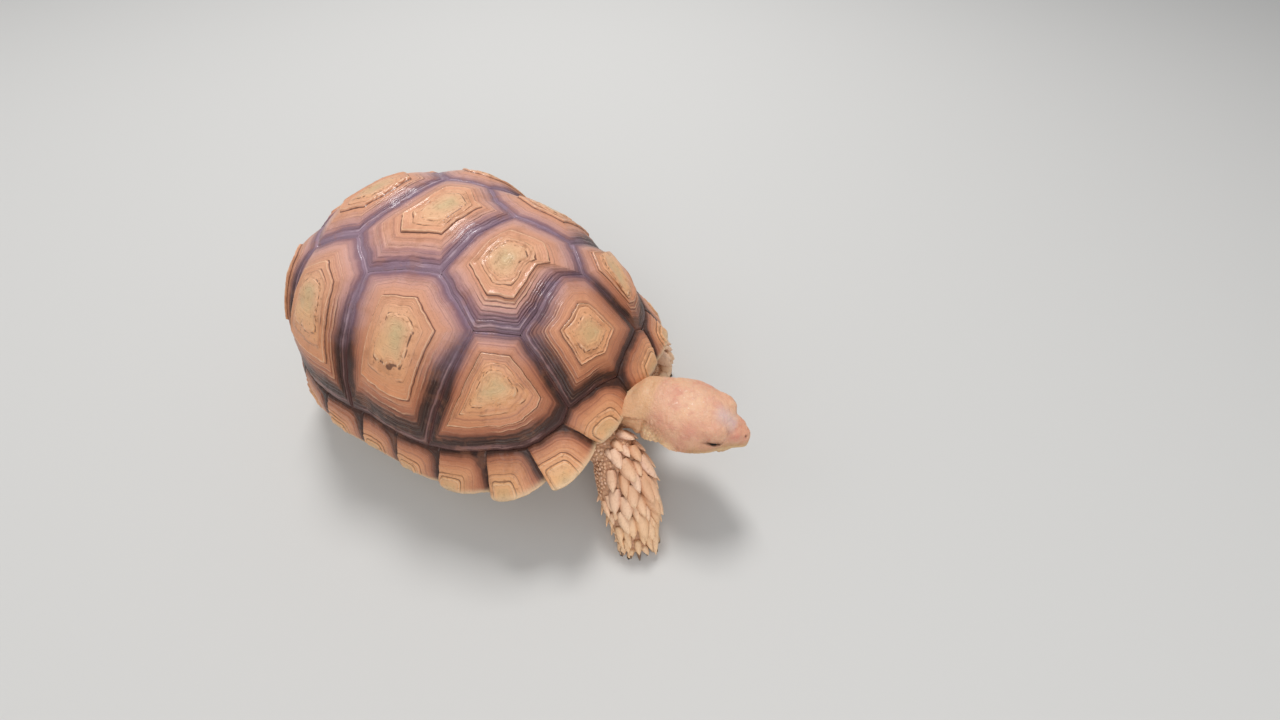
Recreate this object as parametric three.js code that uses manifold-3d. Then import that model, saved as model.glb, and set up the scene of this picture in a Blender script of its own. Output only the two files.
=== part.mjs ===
// A life-size sulcata tortoise, still, in a slow walking stance with the head stretched out.
// Units are millimetres. The animal is built in its own body frame, +X towards the head, +Y to its
// left and +Z up from the floor, and the last lines turn and centre it: head towards -Y, +Z up.
//
// The carapace is one dome, worked out from a few driving sizes. Its plates are drawn on a flat map
// of the dome, where the middle is 0,0 and the rim is the circle of radius 1, so that every plate is
// a patch of the same surface. Head, neck, legs and tail are lofts along short paths.
import * as THREE from "three";
import Module from "manifold-3d";
import { mergeVertices } from "three/addons/utils/BufferGeometryUtils.js";

const wasm = await Module();
wasm.setup();

const RIGHT = -1;
const LEFT = 1;
const degrees = THREE.MathUtils.degToRad;
const mix = THREE.MathUtils.lerp;
const clamp01 = (value) => THREE.MathUtils.clamp(value, 0, 1);

// ---------------------------------------------------------------- driving dimensions
const GAP = 0.35; // clearance between neighbouring solids

const DOME = {
  middleX: -12, // the top of the dome, along the body
  top: 136.8, // height of the top above the floor
  frontLength: 118.2,
  backLength: 119,
  halfWidth: 98.2,
  squareness: 2.46, // of the outline seen from above
  rearSwell: 9, // the outline is widest behind the middle
  fullness: { front: 2.03, side: 2.03, back: 3.1 }, // of the profile
  rimHeight: { front: 60, side: 32.8, back: 38 },
  rimSlope: { front: 0.99, side: 1.49, back: 1.44 }, // radians from the vertical axis at the rim
  flare: { front: 3.8, side: 2.7, back: 7 }, // how far the rim plates kick outwards
  flareFrom: 0.72,
};

const PLATE = {
  thickness: 2.6,
  seam: 0.2, // half the width of the joint between two plates
  lift: 4.6, // height of a plate's middle over its edges
  rimThickness: 3.4,
};

const PLASTRON = {
  height: 20, // underside above the floor
  thickness: 3.2,
  flatHalfWidth: 46,
  bridgeHalfWidth: 77,
  bridgeRise: 8,
  tipRise: 4,
};

// ---------------------------------------------------------------- the dome
// A value that goes from its size at the sides to its sizes at the two ends.
function aroundRim(sizes, angle, haste = 1.3) {
  const c = Math.cos(angle);
  const end = c > 0 ? sizes.front : sizes.back;
  return sizes.side + (end - sizes.side) * Math.pow(c * c, haste);
}

function rimRadius(angle) {
  const c = Math.cos(angle);
  const s = Math.sin(angle);
  const length = c > 0 ? DOME.frontLength : DOME.backLength;
  const n = DOME.squareness;
  const behind = Math.max(0, -c);
  const width = DOME.halfWidth + DOME.rearSwell * 2 * behind * (1 - behind);
  return Math.pow(Math.abs(c / length) ** n + Math.abs(s / width) ** n, -1 / n);
}

// Distance of the profile from its centre, for a slope in radians; m = 2 would be a circle.
function profile(slope, m) {
  return Math.pow(Math.abs(Math.sin(slope)) ** m + Math.abs(Math.cos(slope)) ** m, -1 / m);
}

// Point of the dome for a place on the flat map.
function domePoint(mapX, mapY) {
  const share = Math.hypot(mapX, mapY);
  const angle = Math.atan2(mapY, mapX);
  const endSlope = aroundRim(DOME.rimSlope, angle);
  const slope = share * endSlope;
  const flare = aroundRim(DOME.flare, angle);
  const m = aroundRim(DOME.fullness, angle, 0.8);
  const [here, end] = [profile(slope, m), profile(endSlope, m)];
  const out = (here * Math.sin(slope)) / (end * Math.sin(endSlope));
  const down = (1 - here * Math.cos(slope)) / (1 - end * Math.cos(endSlope));
  const kick = Math.max(0, (share - DOME.flareFrom) / (1 - DOME.flareFrom));
  const radius = (rimRadius(angle) - flare) * out + flare * kick * kick;
  const height = DOME.top - (DOME.top - aroundRim(DOME.rimHeight, angle)) * down;
  return new THREE.Vector3(
    DOME.middleX + radius * Math.cos(angle),
    radius * Math.sin(angle),
    height,
  );
}

function domeNormal(mapX, mapY) {
  const step = 1e-3;
  const alongX = domePoint(mapX + step, mapY).sub(domePoint(mapX - step, mapY));
  const alongY = domePoint(mapX, mapY + step).sub(domePoint(mapX, mapY - step));
  return alongX.cross(alongY).normalize();
}

function onDome(place, height) {
  return domePoint(place.x, place.y).addScaledVector(domeNormal(place.x, place.y), height);
}

const polar = (share, angle) =>
  new THREE.Vector2(share * Math.cos(degrees(angle)), share * Math.sin(degrees(angle)));
function mirrored(place, side) {
  const copy = new THREE.Vector2(place.x, place.y * side);
  if (place.seamAngle !== undefined) copy.seamAngle = place.seamAngle;
  return copy;
}

// ---------------------------------------------------------------- where the seams meet, left side
// The row of rim plates: the angle of each joint at the seam above and at the rim, and how far the
// rim stands out there, front to back.
const RIM_JOINTS = [
  { seam: 0, rim: 0, reach: 0 },
  { seam: 22.3, rim: 16.2, reach: 1.5 },
  { seam: 33.9, rim: 32.0, reach: 6 },
  { seam: 45.3, rim: 47.0, reach: 4 },
  { seam: 60, rim: 63.1, reach: 1 },
  { seam: 77, rim: 79, reach: 0 },
  { seam: 93, rim: 95, reach: 0 },
  { seam: 109, rim: 111, reach: 0 },
  { seam: 124, rim: 126, reach: 0 },
  { seam: 138, rim: 140, reach: 0.5 },
  { seam: 151.5, rim: 152.5, reach: 0.8 },
  { seam: 167, rim: 166, reach: 0.8 },
];
// How far each rim plate's hind corner stands out past the outline, front to back.
// rise and fall say how full the tooth is before its tip and how fast it ends behind it.
const RIM_TEETH = [
  { height: 4.5, rise: 1.0, fall: 0.3 },
  { height: 9.0, rise: 0.7, fall: 0.2 },
  { height: 6.5, rise: 0.95, fall: 0.36 },
  { height: 3.0, rise: 1.1, fall: 0.5 },
  { height: 1.2, rise: 1.4, fall: 0.3 },
  { height: 1.0, rise: 1.4, fall: 0.3 },
  { height: 1.4, rise: 1.4, fall: 0.22 },
  { height: 2.4, rise: 1.4, fall: 0.22 },
  { height: 3.6, rise: 1.4, fall: 0.22 },
  { height: 4.2, rise: 1.4, fall: 0.22 },
  { height: 3.6, rise: 1.4, fall: 0.22 },
];
const TAIL_PLATE_TOOTH = 2;
// The teeth of the left front are worn to this share of the right ones' reach, back to
// the first angle, and the two sides are the same from the second angle on.
const WORN = { share: 0.42, until: 50, gone: 90 };
const RIM_TRIM = 0.3; // degrees kept clear on each side of a joint in the rim

// The seam above the rim plates: its share of the way to the rim, by angle.
const SEAM_LINE = [
  [0, 0.898],
  [9.2, 0.862],
  [18.9, 0.85],
  [22.3, 0.881],
  [33.9, 0.89],
  [45.3, 0.861],
  [60, 0.848],
  [93, 0.832],
  [124, 0.832],
  [151.5, 0.84],
  [180, 0.845],
];
function seamShare(angle) {
  let k = 0;
  while (k < SEAM_LINE.length - 2 && angle > SEAM_LINE[k + 1][0]) k += 1;
  const [[a, shareA], [b, shareB]] = [SEAM_LINE[k], SEAM_LINE[k + 1]];
  return mix(shareA, shareB, clamp01((angle - a) / (b - a)));
}
function onSeam(angle) {
  const place = polar(seamShare(angle), angle);
  place.seamAngle = angle;
  return place;
}
const joint = (k) => onSeam(RIM_JOINTS[k].seam);

const MEET = {
  frontPeak: onSeam(0),
  v1c1: onSeam(18.9),
  v1v2: new THREE.Vector2(0.5, 0.203),
  v2side: new THREE.Vector2(0.35, 0.292),
  v2v3: new THREE.Vector2(0.134, 0.195),
  v3side: new THREE.Vector2(-0.111, 0.299),
  v3v4: new THREE.Vector2(-0.215, 0.19),
  v4side: new THREE.Vector2(-0.37, 0.262),
  v4v5: new THREE.Vector2(-0.47, 0.165),
  v5c4: onSeam(160),
  v5back: onSeam(167),
  backPeak: onSeam(180),
  c1c2: onSeam(64),
  c2c3: onSeam(97),
  c3c4: onSeam(127),
};

// ---------------------------------------------------------------- making solids
// An indexed geometry from points and triangles, turned the right way out.
function solidGeometry(points, triangles) {
  let volume = 0;
  for (const [a, b, c] of triangles)
    volume += points[a].dot(points[b].clone().cross(points[c]));
  const faces = volume < 0 ? triangles.map(([a, b, c]) => [a, c, b]) : triangles;
  const geometry = new THREE.BufferGeometry();
  geometry.setFromPoints(points);
  geometry.setIndex(faces.flat());
  geometry.computeVertexNormals();
  return geometry;
}

// Closed skin over a stack of rings of equal length, with a fan at each end.
function loftGeometry(rings) {
  const count = rings[0].length;
  const points = rings.flat();
  const triangles = [];
  const last = rings.length - 1;
  for (let r = 0; r < last; r += 1)
    for (let k = 0; k < count; k += 1) {
      const next = (k + 1) % count;
      const [a, b] = [r * count + k, r * count + next];
      triangles.push([a, b, b + count], [a, b + count, a + count]);
    }
  for (const r of [0, last]) {
    const middle = new THREE.Vector3();
    rings[r].forEach((p) => middle.addScaledVector(p, 1 / count));
    const hub = points.push(middle) - 1;
    for (let k = 0; k < count; k += 1) {
      const [a, b] = [r * count + k, r * count + ((k + 1) % count)];
      triangles.push(r === 0 ? [b, a, hub] : [a, b, hub]);
    }
  }
  return solidGeometry(points, triangles);
}

function toManifold(geometry) {
  const bare = geometry.clone();
  bare.deleteAttribute("normal");
  bare.deleteAttribute("uv");
  const merged = mergeVertices(bare, 1e-4);
  return new wasm.Manifold(
    new wasm.Mesh({
      numProp: 3,
      vertProperties: merged.attributes.position.array,
      triVerts: new Uint32Array(merged.index.array),
    }),
  );
}

function toGeometry(manifold) {
  const mesh = manifold.getMesh();
  const geometry = new THREE.BufferGeometry();
  geometry.setAttribute("position", new THREE.BufferAttribute(mesh.vertProperties, 3));
  geometry.setIndex(new THREE.BufferAttribute(mesh.triVerts, 1));
  geometry.computeVertexNormals();
  return geometry;
}

// Cutting can leave loose flakes where two surfaces graze each other; the part is the largest body.
function mainBody(solid) {
  return solid
    .decompose()
    .reduce((best, body) => (body.volume() > best.volume() ? body : best));
}

// ---------------------------------------------------------------- plates of the shell
// The outline of a plate, as places on the flat map: each edge is cut into short steps, and an edge
// between two corners on the seam above the rim plates follows that seam.
function outline(corners, longestStep) {
  const places = [];
  corners.forEach((corner, k) => {
    const next = corners[(k + 1) % corners.length];
    const steps = Math.max(1, Math.round(corner.distanceTo(next) / longestStep));
    const follows = corner.seamAngle !== undefined && next.seamAngle !== undefined;
    const side = Math.sign(corner.y + next.y);
    for (let j = 0; j < steps; j += 1)
      places.push(
        follows
          ? mirrored(onSeam(mix(corner.seamAngle, next.seamAngle, j / steps)), side)
          : corner.clone().lerp(next, j / steps),
      );
  });
  return places;
}

// A plate is a patch of a surface: rings that shrink from the outline to the plate's oldest part.
// surface(place, height) gives the point that far above the surface.
function plateGeometry(places, heart, surface, thickness, lift, ringShares) {
  const edge = places.map((p) => {
    const inward = heart.clone().sub(p);
    return p.clone().addScaledVector(inward.normalize(), PLATE.seam / 100);
  });
  const rings = [];
  const ringAt = (share, height) =>
    edge.map((p) => surface(heart.clone().lerp(p, share), height));
  const underShares = [0.5, 1];
  const middleUnder = surface(heart, -thickness);
  underShares.forEach((share) => rings.push(ringAt(share, -thickness)));
  ringShares.forEach((share) => rings.push(ringAt(share, lift * (1 - share ** 2))));
  const geometry = loftGeometry(rings);
  const position = geometry.attributes.position;
  const hubs = rings.length * places.length;
  position.setXYZ(hubs, middleUnder.x, middleUnder.y, middleUnder.z);
  const middleOver = surface(heart, lift);
  position.setXYZ(hubs + 1, middleOver.x, middleOver.y, middleOver.z);
  return geometry;
}

const matte = (colour, roughness) => () =>
  new THREE.MeshStandardMaterial({ color: colour, roughness, metalness: 0 });
const shellMaterial = matte(0xa9673f, 0.5);
const underMaterial = matte(0xd9b98a, 0.55);
const skinMaterial = matte(0xd9a27c, 0.7);
const eyeMaterial = matte(0x1a120d, 0.15);

function namedMesh(name, geometry, material) {
  const mesh = new THREE.Mesh(geometry, material);
  mesh.name = name;
  return mesh;
}

const tortoise = new THREE.Group();

const LONGEST_STEP = 0.125; // along a plate's outline, on the flat map

function addPlate(name, corners, heart) {
  const places = outline(corners, LONGEST_STEP);
  const geometry = plateGeometry(places, heart, onDome, PLATE.thickness, PLATE.lift, [1, 0.8, 0.45]);
  tortoise.add(namedMesh(name, geometry, shellMaterial()));
}

// Vertebral plates: the row of five along the back. Corners are given down the left side.
function addVertebral(number, leftCorners, heartX, peaks = {}) {
  const rightCorners = leftCorners.map((p) => mirrored(p, RIGHT)).reverse();
  const corners = [
    ...(peaks.front ? [peaks.front] : []),
    ...leftCorners,
    ...(peaks.back ? [peaks.back] : []),
    ...rightCorners,
  ];
  addPlate(`vertebral_${number}`, corners, new THREE.Vector2(heartX, 0));
}
addVertebral(1, [MEET.v1c1, MEET.v1v2], 0.7, { front: MEET.frontPeak });
addVertebral(2, [MEET.v1v2, MEET.v2side, MEET.v2v3], 0.315);
addVertebral(3, [MEET.v2v3, MEET.v3side, MEET.v3v4], -0.045);
addVertebral(4, [MEET.v3v4, MEET.v4side, MEET.v4v5], -0.345);
addVertebral(5, [MEET.v4v5, MEET.v5c4, MEET.v5back], -0.66, { back: MEET.backPeak });

// Costal plates: four down each side, each reaching the row of rim plates.
const COSTALS = [
  {
    corners: [MEET.v1c1, joint(1), joint(2), joint(3), MEET.c1c2, MEET.v2side, MEET.v1v2],
    heart: new THREE.Vector2(0.535, 0.435),
  },
  {
    corners: [MEET.c1c2, onSeam(80), MEET.c2c3, MEET.v3side, MEET.v2v3, MEET.v2side],
    heart: new THREE.Vector2(0.125, 0.49),
  },
  {
    corners: [MEET.c2c3, onSeam(112), MEET.c3c4, MEET.v4side, MEET.v3v4, MEET.v3side],
    heart: new THREE.Vector2(-0.27, 0.47),
  },
  {
    corners: [MEET.c3c4, onSeam(144), MEET.v5c4, MEET.v4v5, MEET.v4side],
    heart: new THREE.Vector2(-0.55, 0.37),
  },
];
for (const [side, word] of [
  [RIGHT, "right"],
  [LEFT, "left"],
])
  COSTALS.forEach(({ corners, heart }, k) => {
    const placed = corners.map((p) => mirrored(p, side));
    addPlate(`costal_${word}_${k + 1}`, placed, mirrored(heart, side));
  });

// ---------------------------------------------------------------- the rim plates
const UNDERSIDE = {
  width: { front: 15, side: 19, back: 16 }, // how far a rim plate turns in under the edge
  drop: { front: 0.5, side: 5, back: 0 }, // how far the turned-in part goes down
};

// Outward standing of a rim plate's edge, from its front joint (0) to its hind joint (1).
function toothReach({ height, rise, fall }, along) {
  const peak = rise / (rise + fall);
  const shape = (t) => t ** rise * (1 - t) ** fall;
  return (height * shape(along)) / shape(peak);
}

function wearShare(side, rimAngle) {
  if (side === RIGHT) return 1;
  const along = (rimAngle - WORN.until) / (WORN.gone - WORN.until);
  return mix(WORN.share, 1, Math.min(1, Math.max(0, along)));
}

// One ring of a rim plate: a closed section from the seam, over the edge and back inside.
// With clear above 0 it is the space that the soft parts keep out of instead.
function rimSection(seamAngle, rimAngle, reach, side, clear = 0) {
  const share = seamShare(seamAngle) + (clear > 0 ? -0.006 : 0.003);
  const seam = mirrored(polar(share, seamAngle), side);
  const middle = mirrored(polar((share + 1) / 2, (seamAngle + rimAngle) / 2), side);
  const rim = mirrored(polar(1, rimAngle), side);
  const angle = degrees(rimAngle);
  const out = new THREE.Vector3(Math.cos(angle), Math.sin(angle) * side, 0);
  const width = aroundRim(UNDERSIDE.width, angle);
  const drop = aroundRim(UNDERSIDE.drop, angle);
  const edge = onDome(rim, 0).addScaledVector(out, reach);
  edge.z += reach * 0.15;
  const under = (inward, lower) =>
    edge.clone().addScaledVector(out, -inward).add(new THREE.Vector3(0, 0, -lower));
  const spare = clear > 0 ? 3 : 0;
  return [
    onDome(seam, -PLATE.thickness - clear),
    onDome(seam, spare),
    onDome(middle, PLATE.lift * 0.35 + spare),
    under(-spare, 0),
    under(1.6 - spare, PLATE.rimThickness * 0.75 + clear),
    under(width + reach + clear, PLATE.rimThickness + drop + clear),
    under(width + reach + clear, drop - 2.2 - clear),
    onDome(middle, -PLATE.rimThickness - 1.2 - clear),
  ];
}

function addRimPlate(name, from, to, tooth, side, steps) {
  const rings = [];
  const trim = RIM_TRIM;
  for (let j = 0; j <= steps; j += 1) {
    const along = j / steps;
    const inner = mix(from.seam + trim, to.seam - trim, along);
    const outer = mix(from.rim + trim, to.rim - trim, along);
    const reach = mix(from.reach, to.reach, along) + toothReach(tooth, along);
    rings.push(rimSection(inner, outer, reach * wearShare(side, outer), side));
  }
  tortoise.add(namedMesh(name, loftGeometry(rings), shellMaterial()));
}

for (const [side, word] of [
  [RIGHT, "right"],
  [LEFT, "left"],
])
  RIM_TEETH.forEach((tooth, k) =>
    addRimPlate(
      `marginal_${word}_${k + 1}`,
      RIM_JOINTS[k],
      RIM_JOINTS[k + 1],
      tooth,
      side,
      tooth.height > 2 ? 5 : 3, // a plate with a long tooth bends more, so it takes more sections
    ),
  );
const tailJoint = RIM_JOINTS[RIM_JOINTS.length - 1];
{
  const rings = [];
  const steps = 6;
  for (let j = 0; j <= steps; j += 1) {
    const across = (2 * j) / steps - 1; // -1 at the right joint, 1 at the left joint
    const side = across < 0 ? RIGHT : LEFT;
    const seamAngle = 180 - Math.abs(across) * (180 - tailJoint.seam - RIM_TRIM);
    const rimAngle = 180 - Math.abs(across) * (180 - tailJoint.rim - RIM_TRIM);
    const reach = tailJoint.reach + TAIL_PLATE_TOOTH * (1 - across ** 2);
    rings.push(rimSection(seamAngle, rimAngle, reach, side));
  }
  tortoise.add(namedMesh("supracaudal", loftGeometry(rings), shellMaterial()));
}

// ---------------------------------------------------------------- the plates of the underside
// One line down the middle and one down the outer edge, front to back; a plate spans two of them.
const PLASTRON_LINES = [
  { middle: 96, edgeX: 97, edge: 13 }, // tips of the forked front plates
  { middle: 70, edgeX: 76, edge: 33 },
  { middle: 52, edgeX: 50, edge: 60 },
  { middle: 38, edgeX: 36, edge: PLASTRON.bridgeHalfWidth - 3 },
  { middle: -36, edgeX: -42, edge: PLASTRON.bridgeHalfWidth - 1 },
  { middle: -72, edgeX: -78, edge: 47 },
  { middle: -99, edgeX: -110, edge: 22 },
];
const PLASTRON_NAMES = ["gular", "humeral", "pectoral", "abdominal", "femoral", "anal"];

function plastronPoint(x, y, height) {
  const out = clamp01(
    (Math.abs(y) - PLASTRON.flatHalfWidth) / (PLASTRON.bridgeHalfWidth - PLASTRON.flatHalfWidth),
  );
  const tip = clamp01((Math.abs(x + 5) - 55) / 50);
  const rise = PLASTRON.bridgeRise * out * out + PLASTRON.tipRise * tip * tip;
  return new THREE.Vector3(x, y, PLASTRON.height + rise + height);
}

function plastronPlate(front, back, side, clear) {
  const columns = 5;
  const rows = 3;
  const grid = (height) =>
    Array.from({ length: rows + 1 }, (_, r) =>
      Array.from({ length: columns + 1 }, (_, c) => {
        const down = r / rows;
        const across = c / columns;
        const inset = (down < 0.5 ? -1 : 1) * (Math.abs(down - 0.5) === 0.5 ? clear : 0);
        const middleX = mix(front.middle, back.middle, down) + inset;
        const edgeX = mix(front.edgeX, back.edgeX, down) + inset;
        const edge = mix(front.edge, back.edge, down) - clear;
        const y = mix(clear, edge, across);
        return plastronPoint(mix(middleX, edgeX, across), y * side, height);
      }),
    );
  const under = grid(0);
  const over = grid(PLASTRON.thickness);
  const loop = (g) => [
    ...g[0].slice(0, columns),
    ...g.slice(0, rows).map((row) => row[columns]),
    ...g[rows].slice(1).reverse(),
    ...g
      .slice(1)
      .map((row) => row[0])
      .reverse(),
  ];
  return { under, over, loop, rows, columns };
}

// The thin solid between two grids of points that lie one over the other.
function slabGeometry(under, over) {
  const rows = under.length;
  const columns = under[0].length;
  const points = [...under.flat(), ...over.flat()];
  const top = rows * columns;
  const index = (r, c) => r * columns + c;
  const triangles = [];
  for (let r = 0; r + 1 < rows; r += 1)
    for (let c = 0; c + 1 < columns; c += 1) {
      const [a, b, d, e] = [index(r, c), index(r, c + 1), index(r + 1, c + 1), index(r + 1, c)];
      triangles.push([a, b, d], [a, d, e]);
      triangles.push([a + top, d + top, b + top], [a + top, e + top, d + top]);
    }
  const border = [];
  for (let c = 0; c + 1 < columns; c += 1) border.push([index(0, c), index(0, c + 1)]);
  for (let r = 0; r + 1 < rows; r += 1)
    border.push([index(r, columns - 1), index(r + 1, columns - 1)]);
  for (let c = columns - 1; c > 0; c -= 1)
    border.push([index(rows - 1, c), index(rows - 1, c - 1)]);
  for (let r = rows - 1; r > 0; r -= 1) border.push([index(r, 0), index(r - 1, 0)]);
  border.forEach(([a, b]) => triangles.push([b, a, a + top], [b, a + top, b + top]));
  return solidGeometry(points, triangles);
}

for (const [side, word] of [
  [RIGHT, "right"],
  [LEFT, "left"],
])
  PLASTRON_NAMES.forEach((plate, k) => {
    const { under, over } = plastronPlate(PLASTRON_LINES[k], PLASTRON_LINES[k + 1], side, GAP / 2);
    tortoise.add(namedMesh(`${plate}_${word}`, slabGeometry(under, over), underMaterial()));
  });

// ---------------------------------------------------------------- the body inside the shell
const TRUNK = {
  wall: { front: 78, side: 78, back: 86 }, // how far out its side stands
  clear: PLATE.thickness + 4 * GAP,
  floor: PLASTRON.height + PLASTRON.thickness + PLASTRON.bridgeRise * 0.1 + GAP,
};

function trunkGeometry(extra) {
  const count = 32;
  const shares = [0.3, 0.55, 0.75, 0.88];
  const wallRadius = (angle) => {
    const c = Math.cos(angle);
    const end = c > 0 ? TRUNK.wall.front : TRUNK.wall.back;
    return mix(TRUNK.wall.side, end, Math.pow(Math.abs(c), 3)) + extra;
  };
  const around = Array.from({ length: count }, (_, k) => (2 * Math.PI * k) / count);
  const rings = shares.map((share) =>
    around.map((angle) => {
      const p = domePoint(share * Math.cos(angle), share * Math.sin(angle));
      const n = domeNormal(share * Math.cos(angle), share * Math.sin(angle));
      p.addScaledVector(n, -TRUNK.clear + extra);
      const radius = Math.hypot(p.x - DOME.middleX, p.y);
      const limit = wallRadius(angle) + 12 * (1 - share);
      const scale = Math.min(1, limit / radius);
      return new THREE.Vector3(DOME.middleX + (p.x - DOME.middleX) * scale, p.y * scale, p.z);
    }),
  );
  const wallRing = (height, draw) =>
    around.map((angle) => {
      const radius = wallRadius(angle) - draw;
      return new THREE.Vector3(
        DOME.middleX + radius * Math.cos(angle),
        radius * Math.sin(angle),
        height,
      );
    });
  rings.push(wallRing(40, 0), wallRing(TRUNK.floor + 5, 2), wallRing(TRUNK.floor - extra - 3, 7));
  return loftGeometry(rings);
}

// Solids that keep the soft parts clear of the rim plates and of the underside.
const FRONT_REACH = 1; // of the rim over the neck
function rimKeepOut() {
  const rings = [];
  const steps = 60;
  for (let k = 0; k <= steps; k += 1) {
    const turn = -180 + (360 * k) / steps;
    const side = turn < 0 ? RIGHT : LEFT;
    const angle = Math.abs(turn);
    rings.push(rimSection(angle, angle, FRONT_REACH, side, GAP));
  }
  return rings;
}

function ringGeometry(rings) {
  const count = rings[0].length;
  const turns = rings.length - 1; // the last ring repeats the first
  const points = rings.slice(0, turns).flat();
  const triangles = [];
  for (let r = 0; r < turns; r += 1)
    for (let k = 0; k < count; k += 1) {
      const next = (k + 1) % count;
      const after = ((r + 1) % turns) * count;
      triangles.push([r * count + k, r * count + next, after + next]);
      triangles.push([r * count + k, after + next, after + k]);
    }
  return solidGeometry(points, triangles);
}

function plastronKeepOut() {
  let slab;
  for (const side of [RIGHT, LEFT])
    PLASTRON_NAMES.forEach((_, k) => {
      const { under, over } = plastronPlate(PLASTRON_LINES[k], PLASTRON_LINES[k + 1], side, -GAP);
      under.flat().forEach((p) => p.setZ(p.z - GAP));
      over.flat().forEach((p) => p.setZ(p.z + GAP));
      const piece = toManifold(slabGeometry(under, over));
      slab = slab ? slab.add(piece) : piece;
    });
  return slab;
}

const keepOut = toManifold(ringGeometry(rimKeepOut())).add(plastronKeepOut());
const trunk = mainBody(toManifold(trunkGeometry(0)).subtract(keepOut));
const trunkClear = toManifold(trunkGeometry(GAP));
tortoise.add(namedMesh("trunk", toGeometry(trunk), skinMaterial()));

// ---------------------------------------------------------------- limbs, neck and tail
const vector = (xyz) => new THREE.Vector3(...xyz);

// A limb is a loft along a path. Each station gives its place, its half width and half depth, and
// the direction its width lies in.
function limbGeometry(stations, count) {
  const places = stations.map((s) => vector(s.at));
  const rings = stations.map((station, k) => {
    const before = places[Math.max(0, k - 1)];
    const after = places[Math.min(places.length - 1, k + 1)];
    const along = station.facing ? vector(station.facing) : after.clone().sub(before);
    along.normalize();
    const across = vector(station.across);
    across.addScaledVector(along, -across.dot(along)).normalize();
    const deep = along.clone().cross(across);
    return Array.from({ length: count }, (_, j) => {
      const turn = (2 * Math.PI * j) / count;
      const c = Math.cos(turn);
      const s = Math.sin(turn);
      return places[k]
        .clone()
        .addScaledVector(across, station.width * Math.sign(c) * Math.abs(c) ** 0.9)
        .addScaledVector(deep, station.depth * Math.sign(s) * Math.abs(s) ** 0.9);
    });
  });
  return loftGeometry(rings);
}

// A claw: a short cone with a rounded-off tip, pointing forwards and a little down.
function claw(root, tip, radius) {
  const from = vector(root);
  const to = vector(tip);
  const middle = from.clone().lerp(to, 0.55).add(new THREE.Vector3(0, 0, 0.8));
  const stations = [
    { at: from.toArray(), width: radius, depth: radius * 0.8 },
    { at: middle.toArray(), width: radius * 0.8, depth: radius * 0.62 },
    { at: to.toArray(), width: radius * 0.25, depth: radius * 0.2 },
  ].map((s) => ({ ...s, across: [from.y - to.y, to.x - from.x, 0] }));
  return toManifold(limbGeometry(stations, 6));
}

const FLOOR_CUT = 400;
function aboveFloor(solid) {
  const floor = toManifold(new THREE.BoxGeometry(FLOOR_CUT, FLOOR_CUT, 100));
  return solid.subtract(floor.translate([0, 0, -50]));
}

// A leg with its foot: heading is the way the foot points, in degrees to the left of straight on.
function addLeg(name, stations, foot, claws) {
  let solid = toManifold(limbGeometry(stations, 14));
  const heading = degrees(foot.heading);
  const ahead = new THREE.Vector3(Math.cos(heading), Math.sin(heading), 0);
  const sideways = new THREE.Vector3(-Math.sin(heading), Math.cos(heading), 0);
  claws.forEach(({ across, length, back }) => {
    const base = vector(foot.at)
      .addScaledVector(sideways, across)
      .addScaledVector(ahead, foot.reach - 5 - back);
    base.z = foot.clawHeight;
    const tip = base
      .clone()
      .addScaledVector(ahead, length + 5)
      .addScaledVector(sideways, across * 0.12);
    tip.z = 0.7;
    solid = solid.add(claw(base.toArray(), tip.toArray(), foot.clawRadius));
  });
  solid = mainBody(aboveFloor(solid).subtract(keepOut).subtract(trunkClear));
  tortoise.add(namedMesh(name, toGeometry(solid), skinMaterial()));
}

const FORE_CLAWS = [-2, -1, 0, 1, 2].map((k) => ({
  across: k * 4.4,
  length: 5 - Math.abs(k) * 0.5,
  back: Math.abs(k) * 1.5,
}));
const HIND_CLAWS = [-1.5, -0.5, 0.5, 1.5].map((k) => ({
  across: k * 6,
  length: 6,
  back: Math.abs(k) * 1.4,
}));

// Right foreleg: reaching forwards, about to take the weight.
addLeg(
  "leg_front_right",
  [
    { at: [72, -32, 41], width: 13, depth: 12, across: [0.2, 1, 0] },
    { at: [92, -28, 41.5], width: 12.5, depth: 12, across: [0.5, 0.8, 0] },
    { at: [106, -26.5, 42], width: 13.5, depth: 11.5, across: [0.7, 0.7, 0] },
    { at: [117, -31, 37], width: 16, depth: 11.5, across: [0.8, 0.6, 0] },
    { at: [128, -39.5, 27], width: 16.8, depth: 11, across: [0.85, 0.5, 0] },
    { at: [136.5, -46, 17], width: 15.2, depth: 10.6, across: [0.82, 0.55, 0] },
    { at: [141, -50, 8], width: 12.8, depth: 11, across: [0.8, 0.6, 0], facing: [0.2, -0.2, -1] },
    { at: [142.5, -51, -1], width: 12.2, depth: 11, across: [0.8, 0.6, 0], facing: [0, 0, -1] },
  ],
  { at: [142.5, -51, 0], heading: -48, reach: 9.5, clawHeight: 3.6, clawRadius: 2.1 },
  FORE_CLAWS,
);
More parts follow.
